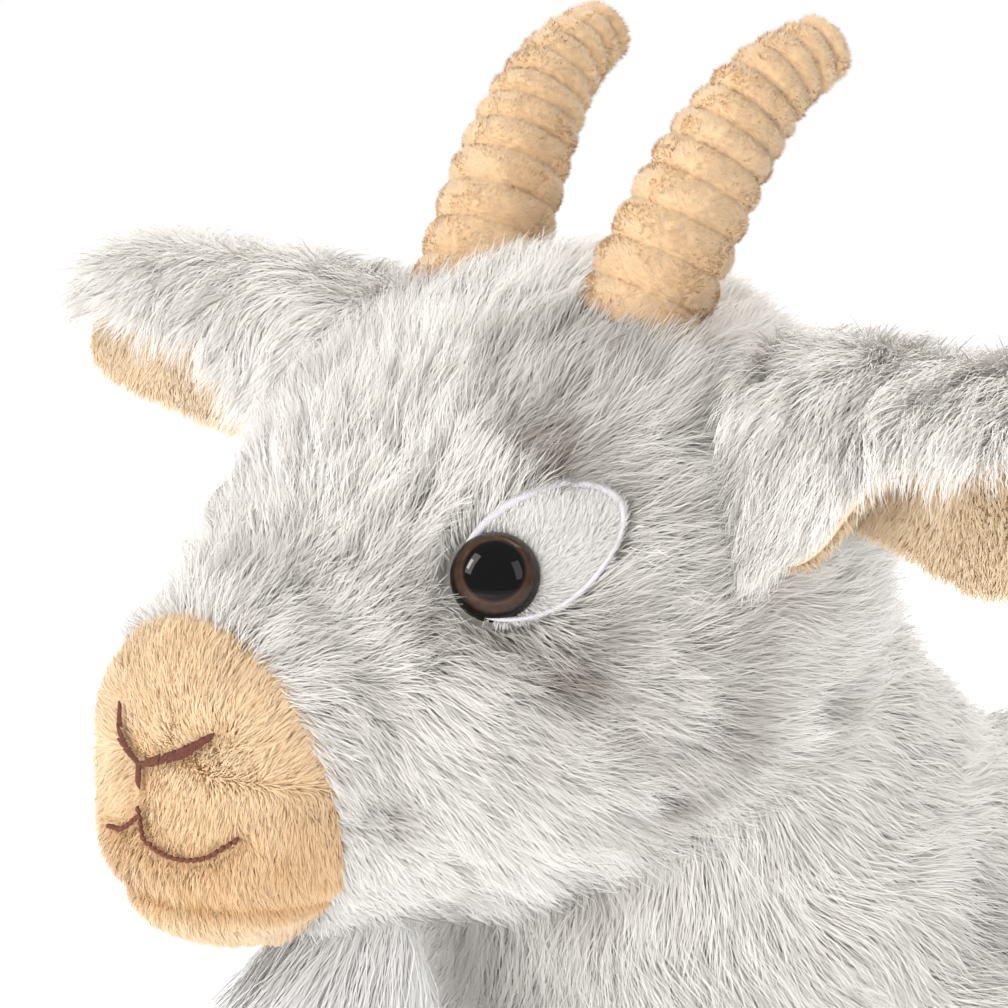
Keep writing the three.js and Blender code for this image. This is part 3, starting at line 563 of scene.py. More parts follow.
neck_foot, neck_top = neck_line(0.0), neck_line(1.0)
neck_along = unit(neck_top - neck_foot)
neck_up = unit(np.cross(neck_along, X))


def neck_inside(p, grown=0.0):
    d = p - neck_foot
    t = dot(d, neck_along)[..., 0] / np.linalg.norm(neck_top - neck_foot)
    k = np.clip(t, 0, 1)
    wide, deep = lerp(*NECK["width"], k) + grown, lerp(*NECK["depth"], k) + grown
    level = (p[..., 0] / wide) ** 2 + (dot(d, neck_up)[..., 0] / deep) ** 2
    return (level < 1) & (t > 0) & (t < 1)


def trunk_inside(p, grown=0.0):
    k = (p[..., 1] - TRUNK["y"]) / (TRUNK["half"] + grown)
    size = np.clip(1 - np.abs(k) ** TRUNK["power"], 0, 1) ** (1 / TRUNK["power"]) + 1e-3
    rise = p[..., 2] - TRUNK["z"]
    reach = np.where(rise > 0, TRUNK["above"], TRUNK["below"] - FLANK_RISE * (np.clip(k, -1, 1) + 1) / 2) + grown
    level = (p[..., 0] / ((TRUNK["width"] + grown) * size)) ** 2 + (rise / (reach * size)) ** 2
    return (level < 1) & (np.abs(k) < 1)


# ---------- head fur ----------
SKIN_INSET = 3.6
head_base = moved(head_skin, -SKIN_INSET)


def on_forehead(p):
    return (np.abs(p[..., 0]) < FOREHEAD / 2) & (p[..., 2] > HEAD_Z)


def on_throat(p):
    return (np.abs(p[..., 0]) < THROAT / 2) & (p[..., 2] < HEAD_Z)


def hood(p):
    hidden = neck_inside(p, -9.0) | trunk_inside(p, -6.0)
    return (ahead_of_seam(p) < 0) & (patch_level(p, -2.5) > 1) & ~hidden


def clear_of_eye(p):
    return (patch_level(p, 0.15) > 1) & (eye_distance(p) > EYE["radius"] + 0.7)


head_panels = {
    "head_side_panel_left": lambda p: hood(p) & ~on_forehead(p) & ~on_throat(p) & (p[..., 0] > 0),
    "head_side_panel_right": lambda p: hood(p) & ~on_forehead(p) & ~on_throat(p) & (p[..., 0] <= 0),
    "forehead_gusset": lambda p: hood(p) & on_forehead(p),
    "throat_gusset": lambda p: hood(p) & on_throat(p),
}


def head_tone(p, seed):
    rough = 0.75 + 0.45 * noise(p, 3.2, seed + 4) + 0.2 * noise(p, 1.5, seed + 5)
    # painted shade: the fur is darkened along the muzzle's seam, where the seam dips in
    seam = np.exp(-np.abs(ahead_of_seam(p)) / 2.0) * 0.25
    return np.clip(0.5 * blotch(p, seed, cover=0.12) + (0.8 * spots(p) + seam) * rough, 0, 1)


def head_length(p):
    from_seam = -ahead_of_seam(p)
    length = 4.6 + 4.4 * smooth(2, 26, from_seam)
    cheek = smooth(-2, -30, p[..., 2] - HEAD_Z) * smooth(10, 40, from_seam)
    top = smooth(24, 42, p[..., 2] - HEAD_Z)
    length = length + 2.2 * cheek - 1.5 * top
    near = smooth(6, 0, eye_distance(p) - EYE["radius"]) * (p[..., 1] < eye_place[1] + 4)
    horn = smooth(4, 0, np.linalg.norm(mirror(p) - horn_root, axis=-1) - HORN["root"])
    bridge = smooth(22, 4, from_seam) * smooth(-26, -10, p[..., 2] - HEAD_Z)
    return length * (1 - 0.5 * near) * (1 - 0.45 * horn) + 2.6 * bridge


_, horn_width, horn_above, _ = head_section(HORN["behind"])
horn_lift = float(horn_above * math.sqrt(1 - (HORN["side"] / float(horn_width)) ** 2))
horn_root = head_place(HORN["side"], HORN["behind"], horn_lift)

for k, (name, keep) in enumerate(head_panels.items()):
    cloth_piece(name, head_base, keep, FUR_BACKING, "head", (name,))
    p, n = head_base.draw(13.0, np.random.default_rng(100 + 10 * k), lambda q: keep(q) & clear_of_eye(q))
    fibres(name + "_fur", p, n, head_comb(p), head_length(p), 0.12, FUR, head_tone(p, 3), 101 + 10 * k,
           "head", segments=3, under=0.46, kink=0.14)

# ---------- muzzle ----------
muzzle_base = moved(head_skin, -2.2)


def stitch_paths():
    lift, rise, reach = NOSE["lift"], NOSE["rise"], NOSE["reach"]
    nose = [
        [(-reach * 0.62, lift + rise), (-reach * 0.5, lift + rise * 0.5), (-reach * 0.2, lift + rise * 0.12),
         (0.0, lift - 0.2)],
        [(reach * 1.28, lift + rise * 0.8), (reach * 0.85, lift + rise * 0.4), (reach * 0.35, lift + rise * 0.12),
         (0.0, lift - 0.2)],
        [(0.0, lift), (-0.3, lift - NOSE["stem"])],
    ]
    lift, reach, sag = MOUTH["lift"], MOUTH["reach"], MOUTH["sag"]
    mouth = [
        [(0.1, lift + 1.4), (reach * 0.2, lift - sag * 0.5), (reach * 0.52, lift - sag * 0.85),
         (reach * 0.86, lift - sag * 0.75), (reach * 1.15, lift - sag * 0.1)],
        [(-0.1, lift + 0.2), (-reach * 0.22, lift - sag * 0.4), (-reach * 0.55, lift - sag * 0.55)],
    ]
    return nose, mouth


def spline(points, count):
    """A smooth curve through points, at evenly spaced places."""
    points = np.asarray(points, float)
    t = np.linspace(0, len(points) - 1, count)
    if len(points) == 2:
        return points[0] + (points[1] - points[0]) * (t / t[-1])[:, None]
    ends = np.vstack([2 * points[0] - points[1], points, 2 * points[-1] - points[-2]])
    i = np.clip(t.astype(int), 0, len(points) - 2)
    f = (t - i)[:, None]
    a, b, c, d = ends[i], ends[i + 1], ends[i + 2], ends[i + 3]
    return 0.5 * (2 * b + (c - a) * f + (2 * a - 5 * b + 4 * c - d) * f ** 2 + (3 * b - a - 3 * c + d) * f ** 3)


def swell(p, n):
    """The muzzle's stuffing fills it out, most of all along the mouth, and the chin narrows downwards."""
    lift, ahead, side = p[..., 2] - HEAD_Z, ahead_of_seam(p), np.abs(p[..., 0])
    full = 1.4 * smooth(0.5, 9, ahead) * smooth(-50, -42, lift)
    lips = 1.8 * smooth(-27, -36, lift) * smooth(-52, -44, lift) * smooth(26, 14, side) * smooth(0, 10, ahead)
    narrow = 2.4 * smooth(-41, -46, lift) * smooth(4, 17, side)
    return p + n * full[..., None] - Y * lips[..., None] + Z * narrow[..., None]


def muzzle_front(flat, inset=0.0):
    """Points (side, lift) put on the front of the muzzle, and the normals there."""
    out, normals = [], []
    for side, lift in flat:
        low, high = -MUZZLE["ahead"] - MUZZLE["depth"], -MUZZLE["ahead"] + 12.0
        for _ in range(40):
            mid = (low + high) / 2
            inside = float(head_level(head_place(side, mid, lift))) < 1
            low, high = (low, mid) if inside else (mid, high)
        p = head_place(side, high, lift)
        e = 0.4

        def level(q):
            return float(head_level(q))
        g = np.array([level(p + e * axis) - level(p - e * axis) for axis in (X, Y, Z)])
        g = g if np.linalg.norm(g) > 1e-6 and g[1] < 0 else -Y
        normals.append(unit(g))
        out.append(p)
    out, normals = np.array(out), np.array(normals)
    return swell(out, normals) - normals * inset, normals


nose_flat, mouth_flat = stitch_paths()
philtrum = spline([(0.0, NOSE["lift"] - 2), (0.0, MOUTH["lift"])], 8)
groove_points = np.concatenate([
    muzzle_front(line, 2.0)[0] for line in [spline(path, 12) for path in nose_flat + mouth_flat] + [philtrum]])


def groove_distance(p):
    return np.min(np.linalg.norm(p[:, None] - groove_points[None], axis=-1), axis=1)


def groove_away(p):
    nearest = groove_points[np.argmin(np.linalg.norm(p[:, None] - groove_points[None], axis=-1), axis=1)]
    return unit(p - nearest)


def lip_nearness(p):
    return np.exp(-((p[..., 2] - HEAD_Z - LIP_LIFT) / 1.7) ** 2)


def sunk(skin, depth):
    """A surface drawn in along the embroidery and the lip seam, as stitches pull the cloth."""
    near = ahead_of_seam(skin.points) > -2
    points = skin.points.copy()
    points[near] = swell(points[near], skin.normals[near])
    d = groove_distance(points[near])
    pucker = 1 + 0.45 * noise(points[near], 2.4, 37)
    rim = np.exp(-ahead_of_seam(points[near]) / 1.3)
    tucked = depth * np.exp(-(d / 2.2) ** 2) * pucker + 1.2 * lip_nearness(points[near]) + 0.6 * rim
    points[near] -= skin.normals[near] * tucked[:, None]
    return Skin(points, skin.faces, lambda p: skin.normals)


muzzle_base = sunk(muzzle_base, 0.7)
muzzle_panels = {
    "muzzle_panel": lambda p: (ahead_of_seam(p) >= 0) & (p[..., 2] >= HEAD_Z + LIP_LIFT),
    "chin_panel": lambda p: (ahead_of_seam(p) >= 0) & (p[..., 2] < HEAD_Z + LIP_LIFT),
}


def muzzle_comb(p):
    near = np.exp(-(groove_distance(p) / 3.2) ** 2)[:, None]
    spread = np.sign(p[:, :1]) * np.minimum(1, np.abs(p[:, :1]) / 12) * X
    high = smooth(-22, -19, p[..., 2] - HEAD_Z + 0.12 * np.abs(p[..., 0]))[:, None]
    return spread * 0.3 + high * (Z + 0.5 * Y) + (1 - high) * (0.2 * Y - Z) + 1.3 * near * groove_away(p)


for k, (name, keep) in enumerate(muzzle_panels.items()):
    cloth_piece(name, muzzle_base, keep, PLUSH_BACKING, "head", (name,), thickness=1.6)
    p, n = muzzle_base.draw(30.0, np.random.default_rng(200 + k), lambda q: keep(q) & (groove_distance(q) > 0.6))
    close = np.exp(-((groove_distance(p) - 0.6) / 1.8) ** 2)
    lip, edge = lip_nearness(p), np.exp(-ahead_of_seam(p) / 1.2)
    length = 2.9 - 1.6 * close - 0.6 * lip - 0.5 * edge
    # painted shade: the nap is darker on the lower muzzle, where less light falls, and darker in the embroidery's
    # grooves, the lip crease and along the seam
    lower = smooth(-16, -34, p[..., 2] - HEAD_Z)
    tone = 0.42 * lower * (name == "muzzle_panel") + 0.2 * close + 0.75 * lip + 0.2 * edge
    tone = tone + 0.15 * noise(p, 9.0, 31) + 0.12 * noise(p, 1.8, 32)
    fibres(name + "_nap", p, n, muzzle_comb(p), length, 0.125, PILE, tone, 210 + k, "head",
           rise=(56.0, 24.0), clump=(2.6, 0.12), lean=0.35, under=0.35)

# ---------- stitches ----------
def capsules(name, starts, ends, normals, radius, material, body, nodes, sides=8, arch=0.35):
    """Short threads, each an arched rounded bar from start to end."""
    starts, ends, normals = map(np.asarray, (starts, ends, normals))
    count = len(starts)
    steps = np.array([0.0, 0.04, 0.14, 0.32, 0.5, 0.68, 0.86, 0.96, 1.0])
    taper = np.array([0.15, 0.6, 0.88, 1.0, 1.0, 1.0, 0.88, 0.6, 0.15])
    along = unit(ends - starts)
    side = unit(np.cross(normals, along))
    up = np.cross(along, side)
    radius = np.broadcast_to(radius, (count,))
    phi = np.linspace(0, 2 * np.pi, sides, endpoint=False)
    around = side[:, None] * np.cos(phi)[None, :, None] + up[:, None] * np.sin(phi)[None, :, None]
    rings = []
    for s, w in zip(steps, taper):
        lift = arch * 4 * s * (1 - s) * radius[:, None] * 2
        centre = starts + (ends - starts) * s + up * lift
        rings.append(centre[:, None] + around * (radius[:, None, None] * w))
    points = np.stack(rings, axis=1).reshape(count, -1, 3)
    first = (np.arange(count) * len(steps) * sides)[:, None]
    faces = first[..., None] + grid_faces(len(steps), sides)[None]
    caps = np.concatenate([first + np.arange(sides)[::-1], first + (len(steps) - 1) * sides + np.arange(sides)])
    obj = make_mesh(name, points.reshape(-1, 3), [faces.reshape(-1, 4), caps], material)
    return place(obj, body, nodes)


def embroidery(name, paths, pitch, reach, thread, seed, fan):
    """Slanted satin stitches laid along each path, in millimetres.

    Each path comes with its fatness along the way; reach is half a stitch; fan turns stitches across the path.
    """
    rng = np.random.default_rng(seed)
    starts, ends, normals = [], [], []
    for path, fatness in paths:
        line = spline(path, 200)
        run = np.concatenate([[0], np.cumsum(np.linalg.norm(np.diff(line, axis=0), axis=1))])
        total = run[-1]
        count = max(2, int(total / pitch))
        for k in range(count + 1):
            at = total * k / count
            point, ahead, behind = (
                np.array([np.interp(way, run, line[:, c]) for c in (0, 1)])
                for way in (at, min(at + 0.3, total), max(at - 0.3, 0)))
            along = unit(ahead - behind)
            across = np.array([-along[1], along[0]])
            width = reach * fatness(k / count)
            slant = unit(along * (1 - fan) + across * fan + 0.08 * rng.normal(size=2))
            (a, b), (na, nb) = muzzle_front([point - slant * width, point + slant * width], 1.2)
            starts.append(a), ends.append(b), normals.append(unit(na + nb))
    return capsules(name, starts, ends, normals, thread, BROWN_YARN, "head", (name,))


def even(_):
    return 1.0


def fat_middle(t):
    return 0.55 + 0.75 * math.sin(math.pi * min(1, t * 1.1)) ** 0.7


embroidery("nose_stitching", list(zip(nose_flat, (fat_middle, fat_middle, even))), 0.34, 0.85, 0.2, 41, 0.5)
embroidery("mouth_stitching", list(zip(mouth_flat, (even, even))), 1.0, 0.6, 0.34, 42, 0.25)


# ---------- eye patches, their stitching, and the eyes ----------
def on_head(p, depth):
    """Points moved along the eye's normal onto the head's surface, less depth."""
    out = []
    for q in p:
        low, high = -14.0, 14.0
        for _ in range(30):
            mid = (low + high) / 2
            inside = float(head_level(q + eye_normal * mid)) < 1
            low, high = (mid, high) if inside else (low, mid)
        out.append(q + eye_normal * (low - depth))
    return np.array(out)


def patch_point(angle, share, extra=0.0):
    share = share * patch_share(angle)
    along = patch_long * math.cos(angle) * (PATCH["long"] * share + extra)
    return patch_middle + along + patch_short * math.sin(angle) * (PATCH["short"] * share + extra)


patch_rows, patch_columns = 9, 40
angles = np.linspace(0, 2 * np.pi, patch_columns, endpoint=False)
patch_shares = np.linspace(0.04, 1.04, patch_rows)
patch_points = on_head(np.array([patch_point(a, share) for share in patch_shares for a in angles]), 1.6)
RING_THREADS = 320
angles = np.linspace(0, 2 * np.pi, RING_THREADS, endpoint=False)
ring_inner = on_head(np.array([patch_point(a, 1.0, -0.1) for a in angles]), 0.9)
ring_outer = on_head(np.array([patch_point(a, 1.0, 0.65 + 0.7 * max(0, math.cos(a - 1.2))) for a in angles]), 0.9)
clear = eye_distance((ring_inner + ring_outer) / 2) > EYE["radius"] - 0.4
ring_inner, ring_outer = ring_inner[clear], ring_outer[clear]

for side, flip in SIDES:
    outward = eye_normal * flip
    skin = Skin(patch_points * flip, grid_faces(patch_rows, patch_columns), lambda p: np.tile(outward, (len(p), 1)))
    cloth_piece("eye_patch_" + side, skin, None, woven_material("eye_patch_cloth_" + side, "dedbd7", "f0eeeb"),
                "head", ("eye_patch_" + side,), thickness=1.0)
    p, n = skin.draw(42.0, np.random.default_rng(300), lambda q: eye_distance(q) > EYE["radius"] - 0.3)
    away = unit(p - (eye_place * flip)) + 0.5 * Z
    # painted shade: the nap is darkened close to the eye and towards the patch's stitched border
    tone = 0.1 + 0.5 * np.exp(-(eye_distance(p) - EYE["radius"]) / 1.2) + 0.2 * noise(p, 4.0, 33)
    tone = tone + 0.35 * smooth(0.78, 1.0, patch_level(p))
    fibres("eye_patch_nap_" + side, p, n, away, 1.9, 0.12, WHITE_NAP, tone, 310, "head",
           rise=(50.0, 16.0), clump=(2.4, 0.12), under=0.3)
    capsules("eye_patch_stitching_" + side, ring_inner * flip, ring_outer * flip, np.tile(outward, (len(ring_inner), 1)),
             0.15, PALE_YARN, "head", ("eye_patch_stitching_" + side,), arch=1.0)


def lathe(name, profile, origin, axis, material, columns=64):
    """A turned piece from (radius, height) pairs along an axis."""
    first = unit(np.cross(axis, Z))
    second = np.cross(axis, first)
    phi = np.linspace(0, 2 * np.pi, columns, endpoint=False)
    rings = [origin + axis * h + np.outer(np.cos(phi), first) * r + np.outer(np.sin(phi), second) * r for r, h in profile]
    points = np.concatenate(rings)
    faces = grid_faces(len(profile), columns)
    every = [faces, np.arange(columns)[::-1][None], (np.arange(columns) + (len(profile) - 1) * columns)[None]]
    away = points - (origin + axis * np.mean([h for _, h in profile]))
    if np.sum((Skin(points, faces).normals * away)[columns:-columns]) < 0:
        every = [f[:, ::-1] for f in every]
    return make_mesh(name, points, every, material)


def eye_material(name, origin, axis):
    """Rings of colour about the eye's axis: black pupil, brown iris with a lighter inner edge, and a dark rim."""
    material, tree, shader = new_material(name)
    at = add_node(tree, "TexCoord", {}).outputs["Object"]
    away = add_node(tree, "VectorMath", {0: at, 1: tuple(origin * MM)}, operation="SUBTRACT").outputs[0]
    across = add_node(tree, "VectorMath", {0: away, 1: tuple(axis)}, operation="CROSS_PRODUCT").outputs[0]
    reach = add_node(tree, "VectorMath", {0: across}, operation="LENGTH").outputs["Value"]
    share = add_node(tree, "Math", {0: reach, 1: EYE["radius"] * MM}, operation="DIVIDE").outputs[0]
    streak = add_node(tree, "TexNoise", {"Scale": 900.0, "Vector": at}).outputs["Fac"]
    rings = ramp(tree, [
        (0.0, "020202"), (0.655, "030202"), (0.69, "35241a"), (0.73, "563926"), (0.77, "453125"), (0.87, "3f3026"),
        (0.93, "1f1814"), (1.0, "14100e")], share)
    tint = ramp(tree, [(0.3, "c8c8c8"), (0.7, "ffffff")], streak)
    set_inputs(tree, shader, {
        "Base Color": blended(tree, 1.0, rings, tint, "MULTIPLY"), "Roughness": 0.5, "Specular IOR Level": 0.0,
        "Coat Weight": 1.0, "Coat Roughness": 0.03, "Coat IOR": 1.33,
    })
    return material


EYE_SEAT, EYE_BULGE = -1.6, 4.1
radius = EYE["radius"]
dome_profile = [(radius * 0.99, EYE_SEAT - 1.0), (radius, EYE_SEAT)]
dome_profile += [
    (radius * math.cos(a), EYE_SEAT + EYE_BULGE * math.sin(a)) for a in np.radians(np.linspace(0, 88, 20))[1:]]
back_profile = [(1.4, -15.4), (1.9, -14.0), (1.9, -3.4), (5.9, -3.2), (6.2, -2.9), (6.2, -2.5)]
for side, flip in SIDES:
    origin, axis = eye_place * flip, eye_normal * flip
    dome = lathe("eye_dome_" + side, dome_profile, origin, axis, eye_material("eye_gloss_" + side, origin, axis))
    place(dome, "head", ("eye_dome_" + side,))
    plastic = woven_material("eye_plastic_" + side, "100c0a", "1c1613", scale=400.0, roughness=0.35, sheen=0.0, bump=0.03)
    back = lathe("eye_back_" + side, back_profile, origin, axis, plastic)
    place(back, "head", ("eye_back_" + side,))
    washer_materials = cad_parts["eye_washer_" + side].data.materials
    washer_materials.clear()
    washer_materials.append(NYLON)

# ---------- horns ----------
lean = HORN_LEAN
horn_knots = [
    horn_root + [-lean["out"] * 0.1, -lean["root"] * 0.8, -lean["root"]],
    horn_root + [lean["out"] * 0.35, lean["back"] * 0.2, lean["rise"] * 0.42],
    horn_root + [lean["out"] * 0.72, lean["back"] * 0.56, lean["rise"] * 0.8],
    horn_root + [lean["out"], lean["back"], lean["rise"]],
]
horn_line = spline(horn_knots, 160)
HORN_COLUMNS, ROUNDED_FROM = 64, 0.93


def horn_skin(flip):
    """The ribbed cover, and how far each of its rings stands out, from 0 in a groove to 1 on a rib."""
    along = unit(np.gradient(horn_line, axis=0))
    side = unit(X - along * along[:, :1])
    up = np.cross(side, along)
    k = np.linspace(0, 1, len(horn_line))
    end = np.sqrt(np.clip(1 - ((k - ROUNDED_FROM) / 0.0715) ** 2, 0.0, 1))
    ribs = np.abs(np.sin(np.pi * HORN["ribs"] * k * 1.02)) ** 0.6
    radius = (lerp(HORN["root"], HORN["tip"], k ** 1.3) - 1.15 + 1.05 * ribs) * np.where(k > ROUNDED_FROM, end, 1.0)
    phi = np.linspace(0, 2 * np.pi, HORN_COLUMNS, endpoint=False)
    around = side[:, None] * np.cos(phi)[None, :, None] + up[:, None] * np.sin(phi)[None, :, None]
    rings = horn_line[:, None] + around * np.maximum(radius, 0.05)[:, None, None]
    return loft_skin(rings * flip, lambda p: p - np.repeat(horn_line * flip, HORN_COLUMNS, axis=0)), ribs


for side, flip in SIDES:
    skin, ribs = horn_skin(flip)
    tip_cap = (np.arange(HORN_COLUMNS) + (len(horn_line) - 1) * HORN_COLUMNS)[None]
    obj = make_mesh("horn_cover_" + side, skin.points, [skin.faces, tip_cap], HORN_BACKING)
    place(obj, "head", ("horn_cover_" + side,))
    p, n = moved(skin, -0.3).draw(34.0, np.random.default_rng(320 + len(side)))
    nearest = np.argmin(np.linalg.norm(p[:, None] - (horn_line * flip)[None, ::2], axis=-1), axis=1) * 2
    along = unit(np.gradient(horn_line * flip, axis=0))[nearest]
    rib = ribs[nearest]
    keep = head_level(p, -1.0) > 1
    p, n, along, rib = p[keep], n[keep], along[keep], rib[keep]
    round_about = np.cross(n, along) * np.sign(noise(p, 2.0, 35))[:, None]
    turn = np.arctan2(n[:, 2], n[:, 0] * flip[0])
    knit = (1 - rib) ** 1.5 * (np.sin(turn * 46) > 0)
    # painted shade: the fuzz is lighter on the ribs and darker in the grooves; the knit stripes are the stitches'
    # pattern, darkest in the grooves with the same painted shade
    tone = 0.6 - 0.5 * rib + 0.55 * knit + 0.2 * noise(p, 3.0, 36) + 0.15 * noise(p, 0.9, 38)
    fibres("horn_fuzz_" + side, p, n, round_about * 0.8 + along * 0.5, 0.55 + 0.4 * rib, 0.17, HORN_FUZZ, tone,
           330 + len(side), "head", rise=(55.0, 40.0), clump=(0.8, 0.2), segments=1)

# ---------- ears ----------
ear_root = head_place(head_side(EAR["behind"], EAR["lift"]) + EAR["start"], EAR["behind"], EAR["lift"])


def ear_point(u, v):
    taper = np.sqrt(np.maximum(0.02, 1 - (np.maximum(0, v - 0.35) / 0.66) ** 2))
    swell = 0.82 + 0.18 * np.sin(np.minimum(1, v / 0.5) * np.pi / 2)
    front = lerp(*EAR_FRONT, smooth(0.12, 0.55, v)) * taper
    back = lerp(*EAR_BACK, np.minimum(1, v / 0.5)) * np.sqrt(taper)
    ridge, span = EAR["ridge"] * taper * swell, EAR["span"] * taper * swell
    arc = np.pi * (ridge + span) / 2
    run = u * (front + arc + back)
    angle = np.clip((run - front) / arc, 0, 1) * np.pi
    hang = np.maximum(0, front - run) + np.maximum(0, run - front - arc)
    return ear_root + np.stack([
        EAR["length"] * v,
        -span * np.cos(angle) - EAR["sweep"] * v,
        ridge * np.sin(angle) - hang - EAR["droop"] * v ** 2,
    ], axis=-1)


def ear_skin(flip, inset):
    rows, columns = 60, 48
    u, v = np.meshgrid(np.linspace(0.015, 0.985, columns), np.linspace(0.0, 0.995, rows))
    points = ear_point(u, v)
    folds = 0.9 * np.sin(9 * v + 3 * u) * smooth(0.15, 0.5, v) + 0.8 * noise(points, 13.0, 51)
    axis = ear_root + np.stack([EAR["length"] * v, -EAR["sweep"] * v, -6 + 0 * v], axis=-1)
    away = unit(points - axis)
    points = points + away * folds[..., None]
    faces = grid_faces(rows, columns, closed=False)
    return moved(Skin(points.reshape(-1, 3) * flip, faces, lambda p: away.reshape(-1, 3) * flip), -inset)


def ear_comb(flip):
    def comb(p):
        reach = np.abs(p[:, :1]) - ear_root[0]
        tip = smooth(45, 75, reach)
        over = np.clip((p[:, 1:2] - (HEAD_Y - EAR["sweep"] * reach / EAR["length"])) / 2.5, -1, 1)
        return X * flip[0] * (0.12 + 1.4 * tip) - 0.8 * Z + 0.8 * over * Y
    return comb


def outside_head(p):
    return head_level(p, -2.0) > 1


def ear_tone(p):
    """Darker at the root's upper side, and in small marks."""
    root = np.exp(-((np.abs(p[:, 0]) - ear_root[0] - 5) / 6.0) ** 2) * smooth(HEAD_Z + 25, HEAD_Z + 36, p[:, 2])
    return np.clip(0.34 * blotch(p, 77, size=9.0, cover=0.15) + 0.5 * root * (0.8 + 0.5 * noise(p, 3.0, 72)), 0, 1)


for side, flip in SIDES:
    outer, inner = ear_skin(flip, 2.8), ear_skin(flip, 5.2)
    body = "ear_" + side
    cloth_piece("ear_outer_" + side, outer, outside_head, FUR_BACKING, body, ("ear_outer_" + side,),
                thickness=1.6)
    p, n = outer.draw(11.0, np.random.default_rng(400), outside_head)
    far = smooth(30, 70, np.abs(p[:, 0] - ear_root[0] * flip[0]))
    fibres("ear_fur_" + side, p, n, ear_comb(flip)(p), 6.6 + 2.2 * far, 0.13, FUR, ear_tone(p), 410, body,
           segments=3, rise=(68.0, 22.0), sag=0.1, under=0.3)
    facing = Skin(inner.points, inner.faces[:, ::-1], lambda p: -inner.normals)
    cloth_piece("ear_lining_" + side, facing, outside_head, LINING_BACKING, body, ("ear_lining_" + side,),
                thickness=1.2)
    p, n = facing.draw(18.0, np.random.default_rng(420), outside_head)
    fibres("ear_lining_nap_" + side, p, n, 0.25 * X * flip[0] - Z + 0 * p, 1.9, 0.2, LINING_PILE,
           0.2 + 0.2 * noise(p, 6.0, 52), 430, body, rise=(50.0, 16.0), clump=(1.8, 0.15))

# ---------- beard ----------
BEARD_LENGTH = 33.0
beard_root = head_place(0, -BEARD["ahead"], BEARD["lift"] - 3)
rng = np.random.default_rng(500)
count = int(13000 * DENSITY)
angle, share = rng.random(count) * 2 * np.pi, np.sqrt(rng.random(count))
across, ahead = np.cos(angle), np.sin(angle)
roots = beard_root + np.stack([10.5 * share * across, 6.0 * share * ahead, 3.0 + 0 * angle], axis=1)
n = unit(np.stack([0.35 * share * across, 0.35 * share * ahead - 0.1, -np.ones(count)], axis=1))
comb = np.stack([across * 0.3, 0.3 * ahead - 0.22, -np.ones(count)], axis=1)
round_about = unit(np.stack([0.6 * across, 0.6 * ahead - 0.5, 0.0 * angle], axis=1))
beard = fibres("beard_pile", roots, n, comb, BEARD_LENGTH * (0.75 + 0.3 * (1 - share)), 0.14, BEARD_HAIR,
               0.1 + 0.2 * noise(roots, 3.0, 61), 510, "beard", rise=(80.0, 50.0), clump=(3.0, 0.2),
               segments=6, lean=0.3, sag=0.3, soften=0.95, wave=2.5, kink=0.14, shade=round_about)
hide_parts("beard")


# ---------- trunk, neck and legs ----------
def ellipse_rings(centres, sides, ups, wide, above, below, columns=72):
    phi = np.linspace(0, 2 * np.pi, columns, endpoint=False)
    s, c = np.sin(phi), np.cos(phi)
    return np.array([
        centre + np.outer(c * w, side) + np.outer(s * np.where(s > 0, a, b), up)
        for centre, side, up, w, a, b in zip(centres, sides, ups, wide, above, below)
    ])


def level_ring(centre, radius):
    """One ring of a leg or hoof, a little longer than it is wide."""
    return ellipse_rings([centre], [X], [Y], [radius], [radius * 1.06], [radius * 1.06], LEG_COLUMNS)[0]


def remeshed(obj, voxel, rounds):
    """Remeshed evenly, then relaxed that many times, once its modifiers are evaluated."""
    remesh = obj.modifiers.new("even", "REMESH")
    remesh.mode, remesh.voxel_size = "VOXEL", voxel * MM
    relax = obj.modifiers.new("relax", "SMOOTH")
    relax.factor, relax.iterations = 0.5, rounds
    return obj.evaluated_get(bpy.context.evaluated_depsgraph_get())


t = np.sin(np.linspace(-math.radians(87), math.radians(87), 70))
size = np.clip(1 - np.abs(t) ** TRUNK["power"], 0, 1) ** (1 / TRUNK["power"])
trunk_rings = ellipse_rings(
    [np.array([0, TRUNK["y"] + k * TRUNK["half"], TRUNK["z"]]) for k in t], [X] * len(t), [Z] * len(t),
    TRUNK["width"] * size, TRUNK["above"] * size, (TRUNK["below"] - FLANK_RISE * (t + 1) / 2) * size)
k = np.linspace(0, 1, 30)
neck_depths = lerp(*NECK["depth"], k)
neck_rings = ellipse_rings(
    [neck_line(s) for s in k], [X] * len(k), [neck_up] * len(k), lerp(*NECK["width"], k), neck_depths, neck_depths)
LEG_COLUMNS = 48


